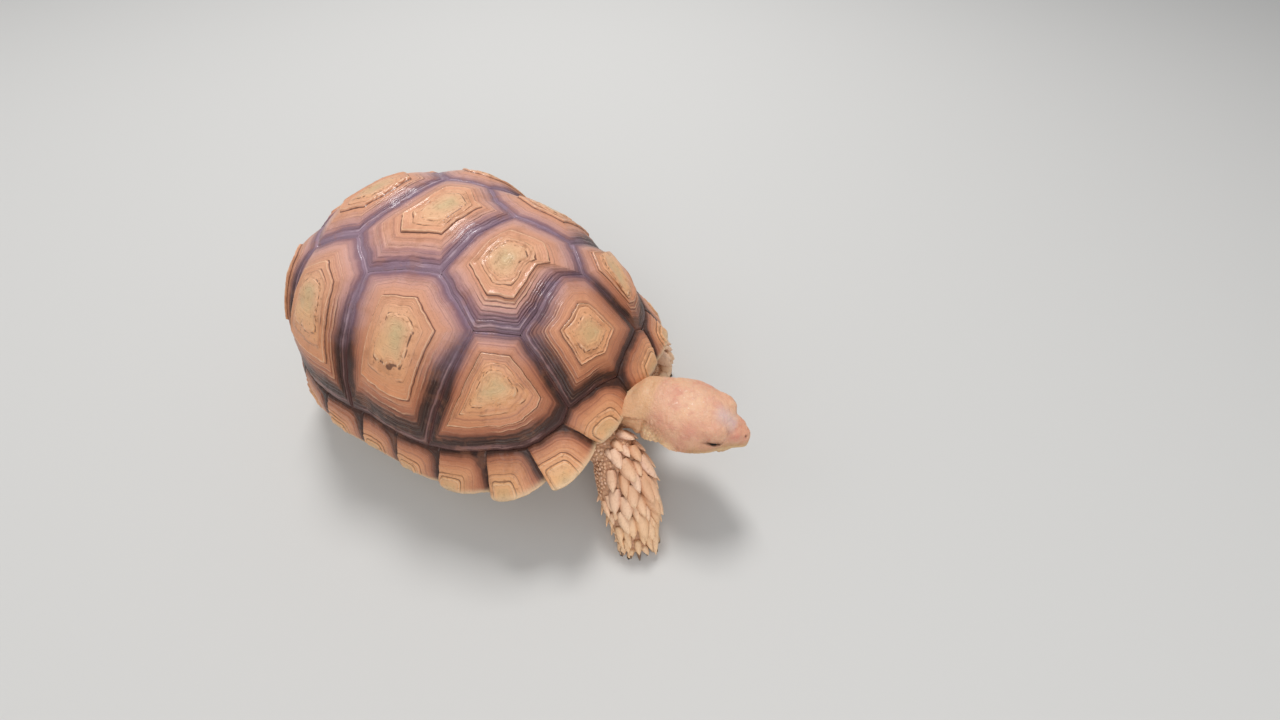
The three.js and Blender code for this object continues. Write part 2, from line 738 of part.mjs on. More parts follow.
// Left foreleg: under the body, carrying.
addLeg(
  "leg_front_left",
  [
    { at: [56, 38, 40], width: 14, depth: 13, across: [0, 1, 0] },
    { at: [73, 45, 38], width: 15, depth: 13.5, across: [-0.3, 1, 0] },
    { at: [84, 52, 31], width: 15.5, depth: 13, across: [-0.4, 1, 0] },
    { at: [88.5, 57, 21], width: 15, depth: 12, across: [-0.35, 1, 0] },
    { at: [87.5, 59, 12], width: 13.5, depth: 11, across: [-0.3, 1, 0] },
    { at: [87.5, 59.5, 5], width: 13, depth: 11.5, across: [-0.25, 1, 0], facing: [0, 0.1, -1] },
    { at: [87.5, 60, -1], width: 12.5, depth: 11.5, across: [-0.2, 1, 0], facing: [0, 0, -1] },
  ],
  { at: [87.5, 60, 0], heading: 12, reach: 12, clawHeight: 4.2, clawRadius: 2.3 },
  FORE_CLAWS,
);
// Hind legs: short columns, the right one stretched back and the left one brought forward.
addLeg(
  "leg_hind_right",
  [
    { at: [-58, -36, 42], width: 17, depth: 16, across: [0, 1, 0] },
    { at: [-74, -48, 34], width: 17.5, depth: 16.5, across: [0.3, 1, 0] },
    { at: [-86, -56, 25], width: 16.5, depth: 15.5, across: [0.3, 1, 0] },
    { at: [-95, -60, 15], width: 15, depth: 14, across: [0.2, 1, 0] },
    { at: [-99, -62, 6], width: 14.5, depth: 14.5, across: [0, 1, 0], facing: [-0.2, 0, -1] },
    { at: [-100, -62, -1], width: 14, depth: 14, across: [0, 1, 0], facing: [0, 0, -1] },
  ],
  { at: [-100, -62, 0], heading: -14, reach: 14, clawHeight: 4, clawRadius: 2.9 },
  HIND_CLAWS,
);
addLeg(
  "leg_hind_left",
  [
    { at: [-48, 36, 42], width: 17, depth: 16, across: [0, 1, 0] },
    { at: [-57, 50, 34], width: 17.5, depth: 17, across: [0, 1, 0] },
    { at: [-61, 61, 25], width: 16.5, depth: 16.5, across: [0, 1, 0] },
    { at: [-62, 66, 15], width: 15, depth: 15, across: [0, 1, 0] },
    { at: [-62, 67.5, 6], width: 14.5, depth: 14.5, across: [0, 1, 0], facing: [0, 0.1, -1] },
    { at: [-62, 68, -1], width: 14, depth: 14, across: [0, 1, 0], facing: [0, 0, -1] },
  ],
  { at: [-62, 68, 0], heading: 10, reach: 14, clawHeight: 4, clawRadius: 2.9 },
  HIND_CLAWS,
);

const tail = toManifold(
  limbGeometry(
    [
      { at: [-82, 0, 36], width: 13, depth: 12, across: [0, 1, 0] },
      { at: [-100, 1, 33], width: 11, depth: 10, across: [0, 1, 0] },
      { at: [-112, 3, 28], width: 8, depth: 7.5, across: [0, 1, 0] },
      { at: [-120, 5, 22], width: 5, depth: 4.8, across: [0, 1, 0] },
      { at: [-124, 6.5, 17], width: 1.6, depth: 1.5, across: [0, 1, 0] },
    ],
    12,
  ),
)
  .subtract(keepOut)
  .subtract(trunkClear);
tortoise.add(namedMesh("tail", toGeometry(mainBody(tail)), skinMaterial()));

// ---------------------------------------------------------------- the head
// The head is worked out in its own frame: x from the back of the skull to the snout, z up.
const HEAD = {
  at: new THREE.Vector3(121, 5.2, 60.2),
  turn: 9, // degrees to the left
  nod: -2, // degrees nose up
  tilt: 0,
};
const headPlace = new THREE.Matrix4()
  .makeTranslation(HEAD.at.x, HEAD.at.y, HEAD.at.z)
  .multiply(
    new THREE.Matrix4().makeRotationFromEuler(
      new THREE.Euler(degrees(HEAD.tilt), degrees(-HEAD.nod), degrees(HEAD.turn), "ZYX"),
    ),
  );

// Half width, top and bottom of the head at stations from the neck to the snout.
const HEAD_STATIONS = [
  { x: -4, width: 16, top: 12, bottom: -14 },
  { x: 4, width: 18.8, top: 14.4, bottom: -16.4 },
  { x: 13, width: 21.8, top: 16, bottom: -17.6 },
  { x: 21, width: 22.4, top: 16.8, bottom: -17.6 },
  { x: 28, width: 20.8, top: 17.2, bottom: -17 },
  { x: 34, width: 18.8, top: 17, bottom: -16 },
  { x: 39, width: 15.4, top: 15.8, bottom: -15 },
  { x: 43.5, width: 11.6, top: 13.3, bottom: -14.1 },
  { x: 48, width: 8.9, top: 10.5, bottom: -13 },
  { x: 52, width: 7.2, top: 8.2, bottom: -11.8 },
  { x: 55.2, width: 5.6, top: 5.6, bottom: -10 },
  { x: 56.4, width: 3.2, top: 2.4, bottom: -6.8 },
];

function headRing(station, count) {
  const middle = (station.top + station.bottom) / 2;
  const half = (station.top - station.bottom) / 2;
  return Array.from({ length: count }, (_, k) => {
    const turn = (2 * Math.PI * (k + 0.5)) / count;
    const c = Math.cos(turn);
    const s = Math.sin(turn);
    return new THREE.Vector3(
      station.x,
      station.width * Math.sign(c) * Math.abs(c) ** 0.82,
      middle + half * Math.sign(s) * Math.abs(s) ** 0.82,
    );
  });
}

const EYE = { x: 37.5, y: 12, z: 5.2, radius: 4.6 };
const MOUTH = { back: 17, height: -6.4, rise: 0.02 };

const skull = toManifold(loftGeometry(HEAD_STATIONS.map((s) => headRing(s, 20))));
function eyeSolid(side, radius) {
  const ball = new THREE.IcosahedronGeometry(radius, 2);
  return toManifold(ball.translate(EYE.x, EYE.y * side, EYE.z));
}
// The space below the mouth line, from the corner of the mouth forwards.
function belowMouth(extra) {
  const box = new THREE.BoxGeometry(80, 80, 40);
  return toManifold(
    box.translate(MOUTH.back + 40 - extra, 0, MOUTH.height - 20 + extra),
  );
}
const jaw = skull.intersect(belowMouth(0));
let face = skull.subtract(belowMouth(GAP));
for (const side of [RIGHT, LEFT]) face = face.subtract(eyeSolid(side, EYE.radius + 0.3));

function addHeadPart(name, solid, material) {
  const geometry = toGeometry(solid);
  geometry.applyMatrix4(headPlace);
  tortoise.add(namedMesh(name, geometry, material));
}
addHeadPart("head", face, skinMaterial());
addHeadPart("jaw", jaw, skinMaterial());
addHeadPart("eye_right", eyeSolid(RIGHT, EYE.radius), eyeMaterial());
addHeadPart("eye_left", eyeSolid(LEFT, EYE.radius), eyeMaterial());

const headTurn = degrees(HEAD.turn);
const neckEnd = new THREE.Vector3(HEAD_STATIONS[0].x + 2, -2, -3).applyMatrix4(headPlace);
const neckBefore = new THREE.Vector3(-12, -3.4, -5.2).applyMatrix4(headPlace);
const headFacing = [Math.cos(headTurn), Math.sin(headTurn), 0.02];
const aheadOfNeck = toManifold(
  new THREE.BoxGeometry(80, 80, 80).translate(40 + HEAD_STATIONS[0].x - GAP, 0, 0),
).transform(headPlace.elements);
const neck = toManifold(
  limbGeometry(
    [
      { at: [66, 3, 41], width: 16.5, depth: 14, across: [0, 1, 0] },
      { at: [88, 3, 40], width: 15, depth: 12.4, across: [0, 1, 0] },
      { at: [100, 1.2, 41], width: 13.6, depth: 11.8, across: [0, 1, 0] },
      { at: neckBefore.toArray(), width: 15.2, depth: 12.6, across: [-0.1, 1, 0] },
      { at: neckEnd.toArray(), width: 15, depth: 12.4, across: [-0.15, 1, 0], facing: headFacing },
    ],
    18,
  ),
)
  .subtract(aheadOfNeck)
  .subtract(keepOut)
  .subtract(trunkClear);
tortoise.add(namedMesh("neck", toGeometry(mainBody(neck)), skinMaterial()));

// ---------------------------------------------------------------- into the frame of the part
// Head towards -Y, and the middle of the outline over the origin.
const turned = new THREE.Matrix4().makeRotationZ(-Math.PI / 2);
const box = new THREE.Box3();
tortoise.children.forEach((mesh) => {
  mesh.geometry.applyMatrix4(turned);
  mesh.geometry.computeBoundingBox();
  box.union(mesh.geometry.boundingBox);
});
const middle = box.getCenter(new THREE.Vector3());
tortoise.children.forEach((mesh) => mesh.geometry.translate(-middle.x, -middle.y, -box.min.z));

export default tortoise;
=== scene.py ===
import math

import bmesh
import bpy
import numpy as np
from mathutils import Matrix, Vector


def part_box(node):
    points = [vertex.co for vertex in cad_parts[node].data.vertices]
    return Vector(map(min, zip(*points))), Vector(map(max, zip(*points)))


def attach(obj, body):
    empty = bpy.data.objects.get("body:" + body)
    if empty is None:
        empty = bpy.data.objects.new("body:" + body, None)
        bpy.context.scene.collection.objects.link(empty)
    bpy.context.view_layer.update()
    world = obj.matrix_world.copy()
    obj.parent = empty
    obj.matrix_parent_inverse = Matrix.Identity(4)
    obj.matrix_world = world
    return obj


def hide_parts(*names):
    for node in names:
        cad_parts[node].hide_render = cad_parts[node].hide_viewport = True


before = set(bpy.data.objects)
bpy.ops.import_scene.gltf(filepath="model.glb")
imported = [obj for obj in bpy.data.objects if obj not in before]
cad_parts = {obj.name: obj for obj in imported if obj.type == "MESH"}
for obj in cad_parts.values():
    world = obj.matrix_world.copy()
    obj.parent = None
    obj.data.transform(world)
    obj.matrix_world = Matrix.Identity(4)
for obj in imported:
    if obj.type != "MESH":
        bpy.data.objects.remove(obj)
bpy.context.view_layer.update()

# %% [markdown]
# # A young sulcata tortoise
# The animal is modelled at life size from the outside in: first the shell, plate by plate, then one
# skin for everything soft, then what grows on the skin (scales, claws, eyes), then materials, light and
# camera. Its measures are written in millimetres in the animal's own frame, x towards the head, y to
# its left and z up. One function at the end of every path turns them into the frame of the part.

# %% Frame of the animal and small helpers
MM = 0.001
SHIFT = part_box("gular_left")[0][1] / MM + 96.825  # where the animal's middle lies along the part
SIDES = ((-1, "right"), (1, "left"))  # the sign of y on each side, and its word in the pieces' names


def to_row(points):
    """Turn body millimetres into metres of the part: X is the left, Y is towards the tail."""
    p = np.asarray(points, float)
    return np.stack([p[..., 1], SHIFT - p[..., 0], p[..., 2]], -1) * MM


def smooth(a, b, x):
    """0 before a, 1 after b, and 3t^2 - 2t^3 between them."""
    t = np.clip((np.asarray(x, float) - a) / (b - a), 0, 1)
    return t * t * (3 - 2 * t)


def unit(v):
    """The same vectors at length 1."""
    return v / np.maximum(np.linalg.norm(v, axis=-1, keepdims=True), 1e-12)


def full_turn(count):
    """Angles at even steps round a circle."""
    return np.linspace(0, 2 * np.pi, count, endpoint=False)


# %% [markdown]
# ### Two kinds of noise
# Nothing on an animal is quite even. Smooth noise bends seams and rings, and cell noise gives the
# pavement of small scales. Both read a cubic table of random numbers that has its own seed, so the same
# place gives the same value each time.

# %% Noise
NOISE_TABLE = 32  # numbers along each side of a table, after which it repeats


def lattice_noise(points, cell, seed, octaves=1):
    """Smooth noise from -1 to 1: random numbers on a cubic lattice, blended with 3t^2 - 2t^3."""
    table = np.random.default_rng(seed).uniform(-1, 1, (NOISE_TABLE,) * 3)
    total, weight = 0.0, 0.0
    for k in range(octaves):
        q = np.asarray(points, float) / cell * 2**k + 17.3 * k
        base = np.floor(q).astype(int)
        f = q - base
        f = f * f * (3 - 2 * f)
        value = 0.0
        for corner in range(8):
            d = np.array([corner & 1, corner >> 1 & 1, corner >> 2 & 1])
            w = np.prod(np.where(d, f, 1 - f), axis=-1)
            i, j, m = np.moveaxis((base + d) % NOISE_TABLE, -1, 0)
            value = value + w * table[i, j, m]
        total, weight = total + value / 2**k, weight + 1 / 2**k
    return total / weight


def cell_noise(points, cell, seed):
    """Distances, in cells, to the nearest and next of jittered lattice sites, and the nearest's number."""
    jitter = np.random.default_rng(seed).uniform(0, 1, (NOISE_TABLE,) * 3 + (4,))
    q = np.asarray(points, float) / cell
    base = np.floor(q).astype(int)
    first = np.full(q.shape[:-1], 9.0)
    second = np.full(q.shape[:-1], 9.0)
    number = np.zeros(q.shape[:-1])
    for k in range(27):
        site = base + np.array([k % 3 - 1, k // 3 % 3 - 1, k // 9 - 1])
        i, j, m = np.moveaxis(site % NOISE_TABLE, -1, 0)
        own = jitter[i, j, m]
        away = np.linalg.norm(site + own[..., :3] - q, axis=-1)
        nearer = away < first
        second = np.where(nearer, first, np.minimum(second, away))
        number = np.where(nearer, own[..., 3], number)
        first = np.where(nearer, away, first)
    return first, second, number


print("smooth noise at the origin:", round(float(lattice_noise(np.zeros(3), 1.0, 1)), 3))

# %% [markdown]
# ### From arrays to a mesh object
# A surface worked out as a grid needs only its points and the numbers of its corners. Other values, such
# as the age of the horn, are written on the points as named attributes, which the materials read later.

# %% Mesh objects
def piece(name, points, quads=(), triangles=(), values=None, nodes=()):
    """One mesh object from arrays of body millimetres, with per-point values as named attributes."""
    points = to_row(np.reshape(points, (-1, 3)))
    quads = np.reshape(np.asarray(quads, int), (-1, 4))
    triangles = np.reshape(np.asarray(triangles, int), (-1, 3))
    mesh = bpy.data.meshes.new(name)
    mesh.vertices.add(len(points))
    mesh.vertices.foreach_set("co", points.ravel())
    corners = np.concatenate([quads.ravel(), triangles.ravel()])
    mesh.loops.add(len(corners))
    mesh.loops.foreach_set("vertex_index", corners)
    starts = np.concatenate([np.arange(len(quads)) * 4, quads.size + np.arange(len(triangles)) * 3])
    mesh.polygons.add(len(starts))
    mesh.polygons.foreach_set("loop_start", starts)
    mesh.update(calc_edges=True)
    mesh.shade_smooth()
    for key, value in (values or {}).items():
        mesh.attributes.new(key, "FLOAT", "POINT").data.foreach_set("value", np.ravel(value))
    made = bpy.data.objects.new(name, mesh)
    bpy.context.collection.objects.link(made)
    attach(made, "root")
    if nodes:
        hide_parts(*nodes)
    return made


def grid_quads(rows, columns, closed=False, start=0):
    """Corner numbers of the quads of a grid of points; closed joins the last column to the first."""
    r, c = np.meshgrid(np.arange(rows - 1), np.arange(columns - (0 if closed else 1)), indexing="ij")
    n = (c + 1) % columns
    return start + np.stack([r * columns + c, r * columns + n, (r + 1) * columns + n, (r + 1) * columns + c],
                            -1).reshape(-1, 4)


def ring_solid(rings, ends=None):
    """A tube of rings whose points turn anticlockwise about its direction, closed by a fan to the middle
    of its first and last ring, or to the two ends that are given. Returns points, quads and fans."""
    rows, columns = rings.shape[:2]
    ends = ends or (rings[0].mean(0), rings[-1].mean(0))
    points = np.concatenate([rings.reshape(-1, 3), np.stack(ends)])
    k, last = np.arange(columns), (rows - 1) * columns
    first_fan = np.stack([np.full(columns, rows * columns), (k + 1) % columns, k], -1)
    last_fan = np.stack([np.full(columns, rows * columns + 1), last + k, last + (k + 1) % columns], -1)
    return points, grid_quads(rows, columns, closed=True), np.concatenate([first_fan, last_fan])


def turned_over(quads, fans):
    """The same faces seen from their other side."""
    return quads[:, ::-1], fans[:, [0, 2, 1]]


def count_triangles(thing):
    """How many triangles a mesh object draws."""
    return sum(len(p.vertices) - 2 for p in thing.data.polygons)


print("a tube of 3 rings has", len(grid_quads(3, 4, closed=True)), "quads for 4 columns")

# %% [markdown]
# ## The dome of the carapace
# A tortoise's carapace is bone fused into one vault, and the horny plates follow it. So the vault comes
# first, as one formula: every plate is a patch of it, and neighbours can't drift apart. The map of the
# vault is a disc: its middle is the highest point, radius 1 is the rim, and the angle is 0 at the head.
# Along each radius the profile is a superellipse, and the outline from above is one too, which gives
# the boxy oval of the species. Four numbers change between front, side and back, so the rim can be
# high over the neck, low and nearly vertical at the bridge, and flared over the hind legs.

# %% The dome as a two-parameter surface
APEX_X, TOP = -12.0, 136.8
LENGTHS, HALF_WIDTH, OUTLINE_POWER, REAR_SWELL = (118.2, 119.0), 98.2, 2.46, 9.0
FULLNESS, RIM_HEIGHT = (2.03, 2.03, 3.1), (60.0, 32.8, 38.0)
RIM_SLOPE, FLARE, FLARE_FROM = (0.99, 1.49, 1.44), (3.8, 2.7, 7.0), 0.72


def around_rim(sizes, angle, haste=1.3):
    """A size that is sizes[1] at the sides and goes to sizes[0] at the front, sizes[2] at the back."""
    c = np.cos(angle)
    return sizes[1] + (np.where(c > 0, sizes[0], sizes[2]) - sizes[1]) * (c * c) ** haste


def rim_radius(angle):
    """Outline from above: |cos/length|^n + |sin/width|^n = radius^-n, a superellipse."""
    c, s = np.cos(angle), np.sin(angle)
    behind = np.maximum(0, -c)
    width = HALF_WIDTH + REAR_SWELL * 2 * behind * (1 - behind)
    length = np.where(c > 0, LENGTHS[0], LENGTHS[1])
    n = OUTLINE_POWER
    return (np.abs(c / length) ** n + np.abs(s / width) ** n) ** (-1 / n)


def dome(place):
    """Point of the dome for a place (x, y) on its disc map."""
    x, y = place[..., 0], place[..., 1]
    share, angle = np.hypot(x, y), np.arctan2(y, x)
    end, m = around_rim(RIM_SLOPE, angle), around_rim(FULLNESS, angle, 0.8)
    slope = share * end

    def out_and_up(t):
        size = (np.abs(np.sin(t)) ** m + np.abs(np.cos(t)) ** m) ** (-1 / m)
        return size * np.sin(t), size * np.cos(t)

    (out, up), (out_end, up_end) = out_and_up(slope), out_and_up(end)
    flare = around_rim(FLARE, angle)
    kick = np.maximum(0, (share - FLARE_FROM) / (1 - FLARE_FROM))
    radius = (rim_radius(angle) - flare) * out / out_end + flare * kick * kick
    height = TOP - (TOP - around_rim(RIM_HEIGHT, angle)) * (1 - up) / (1 - up_end)
    return np.stack([APEX_X + radius * np.cos(angle), radius * np.sin(angle), height], -1)


def dome_normal(place, step=1e-3):
    """Outward direction of the dome, from the cross product of its two slopes."""
    dx, dy = np.array([step, 0]), np.array([0, step])
    return unit(np.cross(dome(place + dx) - dome(place - dx), dome(place + dy) - dome(place - dy)))


def on_dome(place, height):
    """The point that stands that far above the dome."""
    return dome(place) + dome_normal(place) * np.asarray(height)[..., None]


def polar(share, angle):
    """Place on the map from a share of the radius and an angle in degrees."""
    a = np.radians(angle)
    return np.stack([share * np.cos(a), share * np.sin(a)], -1)


SEAM_ANGLES = [0, 9.2, 18.9, 22.3, 33.9, 45.3, 60, 93, 124, 151.5, 180]
SEAM_SHARES = [0.898, 0.862, 0.850, 0.881, 0.890, 0.861, 0.848, 0.832, 0.832, 0.840, 0.845]


def on_seam(angle):
    """The seam above the rim plates, by angle from the head."""
    return polar(np.interp(angle, SEAM_ANGLES, SEAM_SHARES), angle)


print("rim radius at head, side and tail:", np.round(rim_radius(np.radians([0.0, 90.0, 180.0])), 1))

# %% [markdown]
# ## The plates of the back
# Each horny plate grows outwards from the hatchling's plate, its areola, by adding a ring at its edge.
# So a plate is a polar grid about that centre: s is the age, 0 at the areola's middle and 1 at the
# newest edge, and t runs round the outline. A ring is a line of equal s, and so it keeps the plate's
# own outline, only smaller. Each ring ends in a small raised lip and a sharp step down. The steps are
# deeper on the sides that grow fastest, towards the head and the rim. The age is also written on the
# points, so that colours and fine lines follow the rings.

# %% Seams and hearts of the plates
MEET = {
    "front": on_seam(0.0), "v1c1": on_seam(18.9), "v1v2": np.array([0.500, 0.203]),
    "v1v2bend": np.array([0.468, 0.120]), "v1v2bend_right": np.array([0.506, -0.100]),
    "v2side": np.array([0.350, 0.292]), "v2v3": np.array([0.134, 0.195]),
    "v3side": np.array([-0.111, 0.299]), "v3v4": np.array([-0.215, 0.190]),
    "v4side": np.array([-0.370, 0.262]), "v4v5": np.array([-0.470, 0.165]),
    "v5c4": on_seam(160.0), "v5back": on_seam(167.0), "back": on_seam(180.0),
    "m1m2": on_seam(22.3), "m2m3": on_seam(33.9), "m3m4": on_seam(45.3),
    "c1c2": on_seam(64.0), "c2rim": on_seam(80.0), "c2c3": on_seam(97.0), "c3rim": on_seam(112.0),
    "c3c4": on_seam(127.0), "c4rim": on_seam(144.0),
}
FLIP = np.array([1.0, -1.0])
# Each plate: its corners, the heart of its rings and the way it grows fastest.
VERTEBRALS = {
    1: (["front", "v1c1", "v1v2"], (0.70, 0.0), (-0.15, -1.0)),
    2: (["v1v2", "v2side", "v2v3"], (0.30, -0.03), (0.75, -0.66)),
    3: (["v2v3", "v3side", "v3v4"], (-0.042, 0.04), (0.9, -0.4)),
    4: (["v3v4", "v4side", "v4v5"], (-0.345, 0.0), (1, 0)),
    5: (["v4v5", "v5c4", "v5back", "back"], (-0.66, 0.0), (1, 0)),
}
COSTALS = {
    1: (["v1c1", "m1m2", "m2m3", "m3m4", "c1c2", "v2side", "v1v2"], (0.478, 0.356)),
    2: (["c1c2", "c2rim", "c2c3", "v3side", "v2v3", "v2side"], (0.125, 0.44)),
    3: (["c2c3", "c3rim", "c3c4", "v4side", "v3v4", "v3side"], (-0.265, 0.43)),
    4: (["c3c4", "c4rim", "v5c4", "v4v5", "v4side"], (-0.54, 0.345)),
}
LIFT, EDGE_DROP, PLATE_UNDER = 4.6, 0.9, 2.6  # arch of a plate, fall at its seam, its horn below
AROUND, AGES = 176, 84
RIM_SHARE = 0.82  # an edge whose ends both lie past this share of the radius follows the rim seam


def with_zero(place):
    """The same places with 0 as a third number, as the noise wants them."""
    return np.concatenate([place, np.zeros(place.shape[:-1] + (1,))], -1)


def seam_wander(place):
    """Seams wander by a fraction of a millimetre, the same way for both plates that share them."""
    p = with_zero(place)
    return place + 0.0045 * np.stack([lattice_noise(p, 0.055, 11, 2), lattice_noise(p, 0.055, 12, 2)], -1)


def walk_outline(corners, count):
    """Places at even steps along a closed outline whose rim edges follow the rim seam."""
    dense = []
    for a, b in zip(corners, corners[1:] + corners[:1]):
        t = np.linspace(0, 1, 60, endpoint=False)[:, None]
        edge = a + (b - a) * t
        shares = [np.hypot(*p) for p in (a, b)]
        if min(shares) > RIM_SHARE:
            angle = np.degrees(np.arctan2(edge[:, 1], edge[:, 0]))
            line = on_seam(np.abs(angle))
            edge = np.stack([line[:, 0], np.where(angle < 0, -line[:, 1], line[:, 1])], -1)
        dense.append(edge)
    dense = np.concatenate(dense)
    loop = np.concatenate([dense, dense[:1]])
    run = np.concatenate([[0], np.cumsum(np.linalg.norm(np.diff(loop, axis=0), axis=1))])
    at = np.linspace(0, run[-1], count, endpoint=False)
    return np.stack([np.interp(at, run, loop[:, k]) for k in range(2)], -1)


def rounded(outline, reach):
    """The outline with its corners worn off: a running mean, blown back up to the same size."""
    width = max(3, int(len(outline) * reach) | 1)
    wrapped = np.concatenate([outline[-width:], outline, outline[:width]])
    kernel = np.hanning(width + 2)[1:-1]
    kernel /= kernel.sum()
    mean = np.stack([np.convolve(wrapped[:, k], kernel, "same") for k in range(2)], -1)[width:-width]
    middle = outline.mean(0)
    grow = np.ptp(outline, axis=0) / np.ptp(mean, axis=0)
    return middle + (mean - middle) * grow.mean()


print(len(MEET), "meeting points of seams; an outline is walked in", AROUND, "steps")

# %% [markdown]
# ### Rings as terraces
# Cut through, a ring is a slow swell that ends in a lip and drops into a groove. The relief of a plate is
# the sum of ten such steps over its age. A step is strong where the plate grew fast, and it fades where
# the noise says that the horn has crumbled.

# %% Rings
def ring_plan(rng, strong, edge=1.0):
    """Ages at which the steps lie, with the height of each step in millimetres."""
    ages = [0.26, 0.38, strong, 0.60, 0.67, 0.725, 0.78, 0.83, 0.885, 0.94]
    steps = np.array([0.60, 0.50, 1.50, 0.35, 0.50, 0.60, 0.55, 0.80, 0.90, 0.70])
    steps[5:] *= edge
    ages = np.array(ages) + rng.uniform(-0.012, 0.012, len(ages))
    return np.sort(ages), steps * rng.uniform(0.75, 1.2, len(steps))


def terraces(age, ages, steps, strengths, blunt=1.0):
    """Each ring swells slowly to a lip at its outer edge and drops sharply by its own step.
    The second result is 1 on a lip and -1 in the groove at its foot; blunt widens both."""
    height, lip = np.zeros_like(age), np.zeros_like(age)
    edges = np.concatenate([[0.0], ages, [1.02]])
    for k, (step, scale) in enumerate(zip(steps, strengths)):
        inner, outer = edges[k], edges[k + 1]
        rise = np.clip((age - inner) / (outer - inner), 0, 1) ** 2.2
        past = (age - outer) / blunt
        fall = 1 - smooth(0.0, 0.011, past)
        groove = np.exp(-(((past - 0.013) / 0.007) ** 2)) * 0.25
        height += step * scale * (np.where(past < 0, rise, fall) - groove)
        mark = np.exp(-(((past + 0.004) / 0.008) ** 2)) - np.exp(-(((past - 0.012) / 0.008) ** 2))
        lip += mark * np.minimum(1, step * scale * 1.6)
    return height, lip


print("rings on a plate lie at the ages", np.round(ring_plan(np.random.default_rng(0), 0.5)[0], 2))

# %% [markdown]
# ### One plate
# The outline is walked at even steps, and every point of the plate lies on a line from its heart to the
# outline. Near the seam the rings have the corners of the outline, nearer the heart they're rounder.
# The top, the wall below the seam and the flat under side are one closed surface.

# %% One plate as a polar grid
def horn_plate(name, corners, heart, growth, seed, strong=0.5, lift=LIFT, surface=on_dome,
               under=PLATE_UNDER, relief=1.0, down=False, sharp=0.0, edge=0.55,
               stretch=(0.0, 0.0)):
    """One plate as a polar grid: place = heart + s (outline - heart), raised by its own rings."""
    rng = np.random.default_rng(seed)
    heart = np.array(heart, float)
    outline = walk_outline(corners, AROUND)
    after = np.roll(outline, -1, axis=0)
    if np.sum(outline[:, 0] * after[:, 1] - outline[:, 1] * after[:, 0]) < 0:
        outline = outline[::-1]
    outline = seam_wander(outline)
    outline = outline + unit(heart - outline) * 0.0004
    soft = rounded(outline, 0.14)
    pull = np.array(stretch, float)
    soft = soft + ((soft - heart) @ pull)[:, None] * pull
    s = np.concatenate([np.linspace(0, 0.3, 14, endpoint=False)[1:],
                        np.linspace(0.3, 0.985, AGES - 18), [0.990, 0.995, 1.0]])[:, None]
    w = smooth(0.24 - 0.16 * sharp, 0.46 - 0.2 * sharp, s)[..., None]
    shape = outline[None] * w + soft[None] * (1 - w)
    places = heart + s[..., None] * (shape - heart)
    toward = unit(outline - heart)
    fast = smooth(-0.35, 0.85, toward @ unit(np.array(growth, float)))[None]
    flat = with_zero(places)
    wobble = (lattice_noise(flat, 0.07, seed + 1, 2) * 0.020 + lattice_noise(flat, 0.03, seed + 2, 2) * 0.010
              + lattice_noise(flat, 0.011, seed + 6) * 0.0028)
    wobble = wobble + lattice_noise(flat, 0.028, seed + 7, 2) * 0.042 * (1 - smooth(0.30, 0.44, s))
    age = s + wobble * smooth(0.05, 0.3, s) * (1 - smooth(0.955, 0.995, s))
    ages, steps = ring_plan(rng, strong, edge)
    patchy = np.clip(0.80 + 0.75 * lattice_noise(flat, 0.09, seed + 3, 2), 0.12, 1.5)
    crumbly = np.clip(0.75 + 0.8 * lattice_noise(flat, 0.045, seed + 8, 2), 0.1, 1.3)
    strength = (0.16 + 0.98 * fast) * patchy
    strengths = [crumbly, crumbly[::-1], np.maximum(strength, 0.85)] + [strength] * 7
    rings, lip = terraces(age, ages, steps, strengths)
    height = lift * (0.55 * (1 - s**2.1) + 0.45 * (1 - smooth(0.18, 1.0, s))) + relief * rings
    height = height - relief * EDGE_DROP * smooth(0.962, 1.0, s) ** 1.5
    height = height + relief * 0.10 * lattice_noise(flat, 0.012, seed + 4) * smooth(0.4, 0.9, s)
    height = height + relief * 0.34 * lattice_noise(flat, 0.03, seed + 5, 3) * (1 - smooth(0.3, 0.5, s))
    over = surface(places, height)
    wall, mid = [surface(p, np.full(AROUND, -under)) for p in (places[-1], heart + 0.5 * (outline - heart))]
    points, quads, fans = ring_solid(np.concatenate([over, wall[None], mid[None]]),
                                     (surface(heart, lift), surface(heart, -under)))
    if not down:
        quads, fans = turned_over(quads, fans)

    def on_points(values, below, at_hub, at_base):
        """Values of the grid, then one value each for the under side, the hub and the base."""
        return np.concatenate([np.broadcast_to(values, over.shape[:2]).ravel(), np.full(2 * AROUND, below),
                               [at_hub, at_base]])

    marks = {"age": on_points(age, 1.0, 0.0, 1.0), "fast": on_points(fast, 1.0, 0.5, 1.0),
             "lip": on_points(lip, 0.0, 0.0, 0.0), "own": np.full(len(points), rng.uniform())}
    return piece(name + "_plate", points, quads, fans, marks, [name])


print("a plate of the back has", 2 * AROUND * (AGES + 1), "triangles or so")

# %% [markdown]
# ### The thirteen plates
# The vertebral plates run down the middle, and the costal plates lie beside them. A few differ, as they
# do on a live animal: the first seam across the back is bent, and the first pair of costals is uneven.

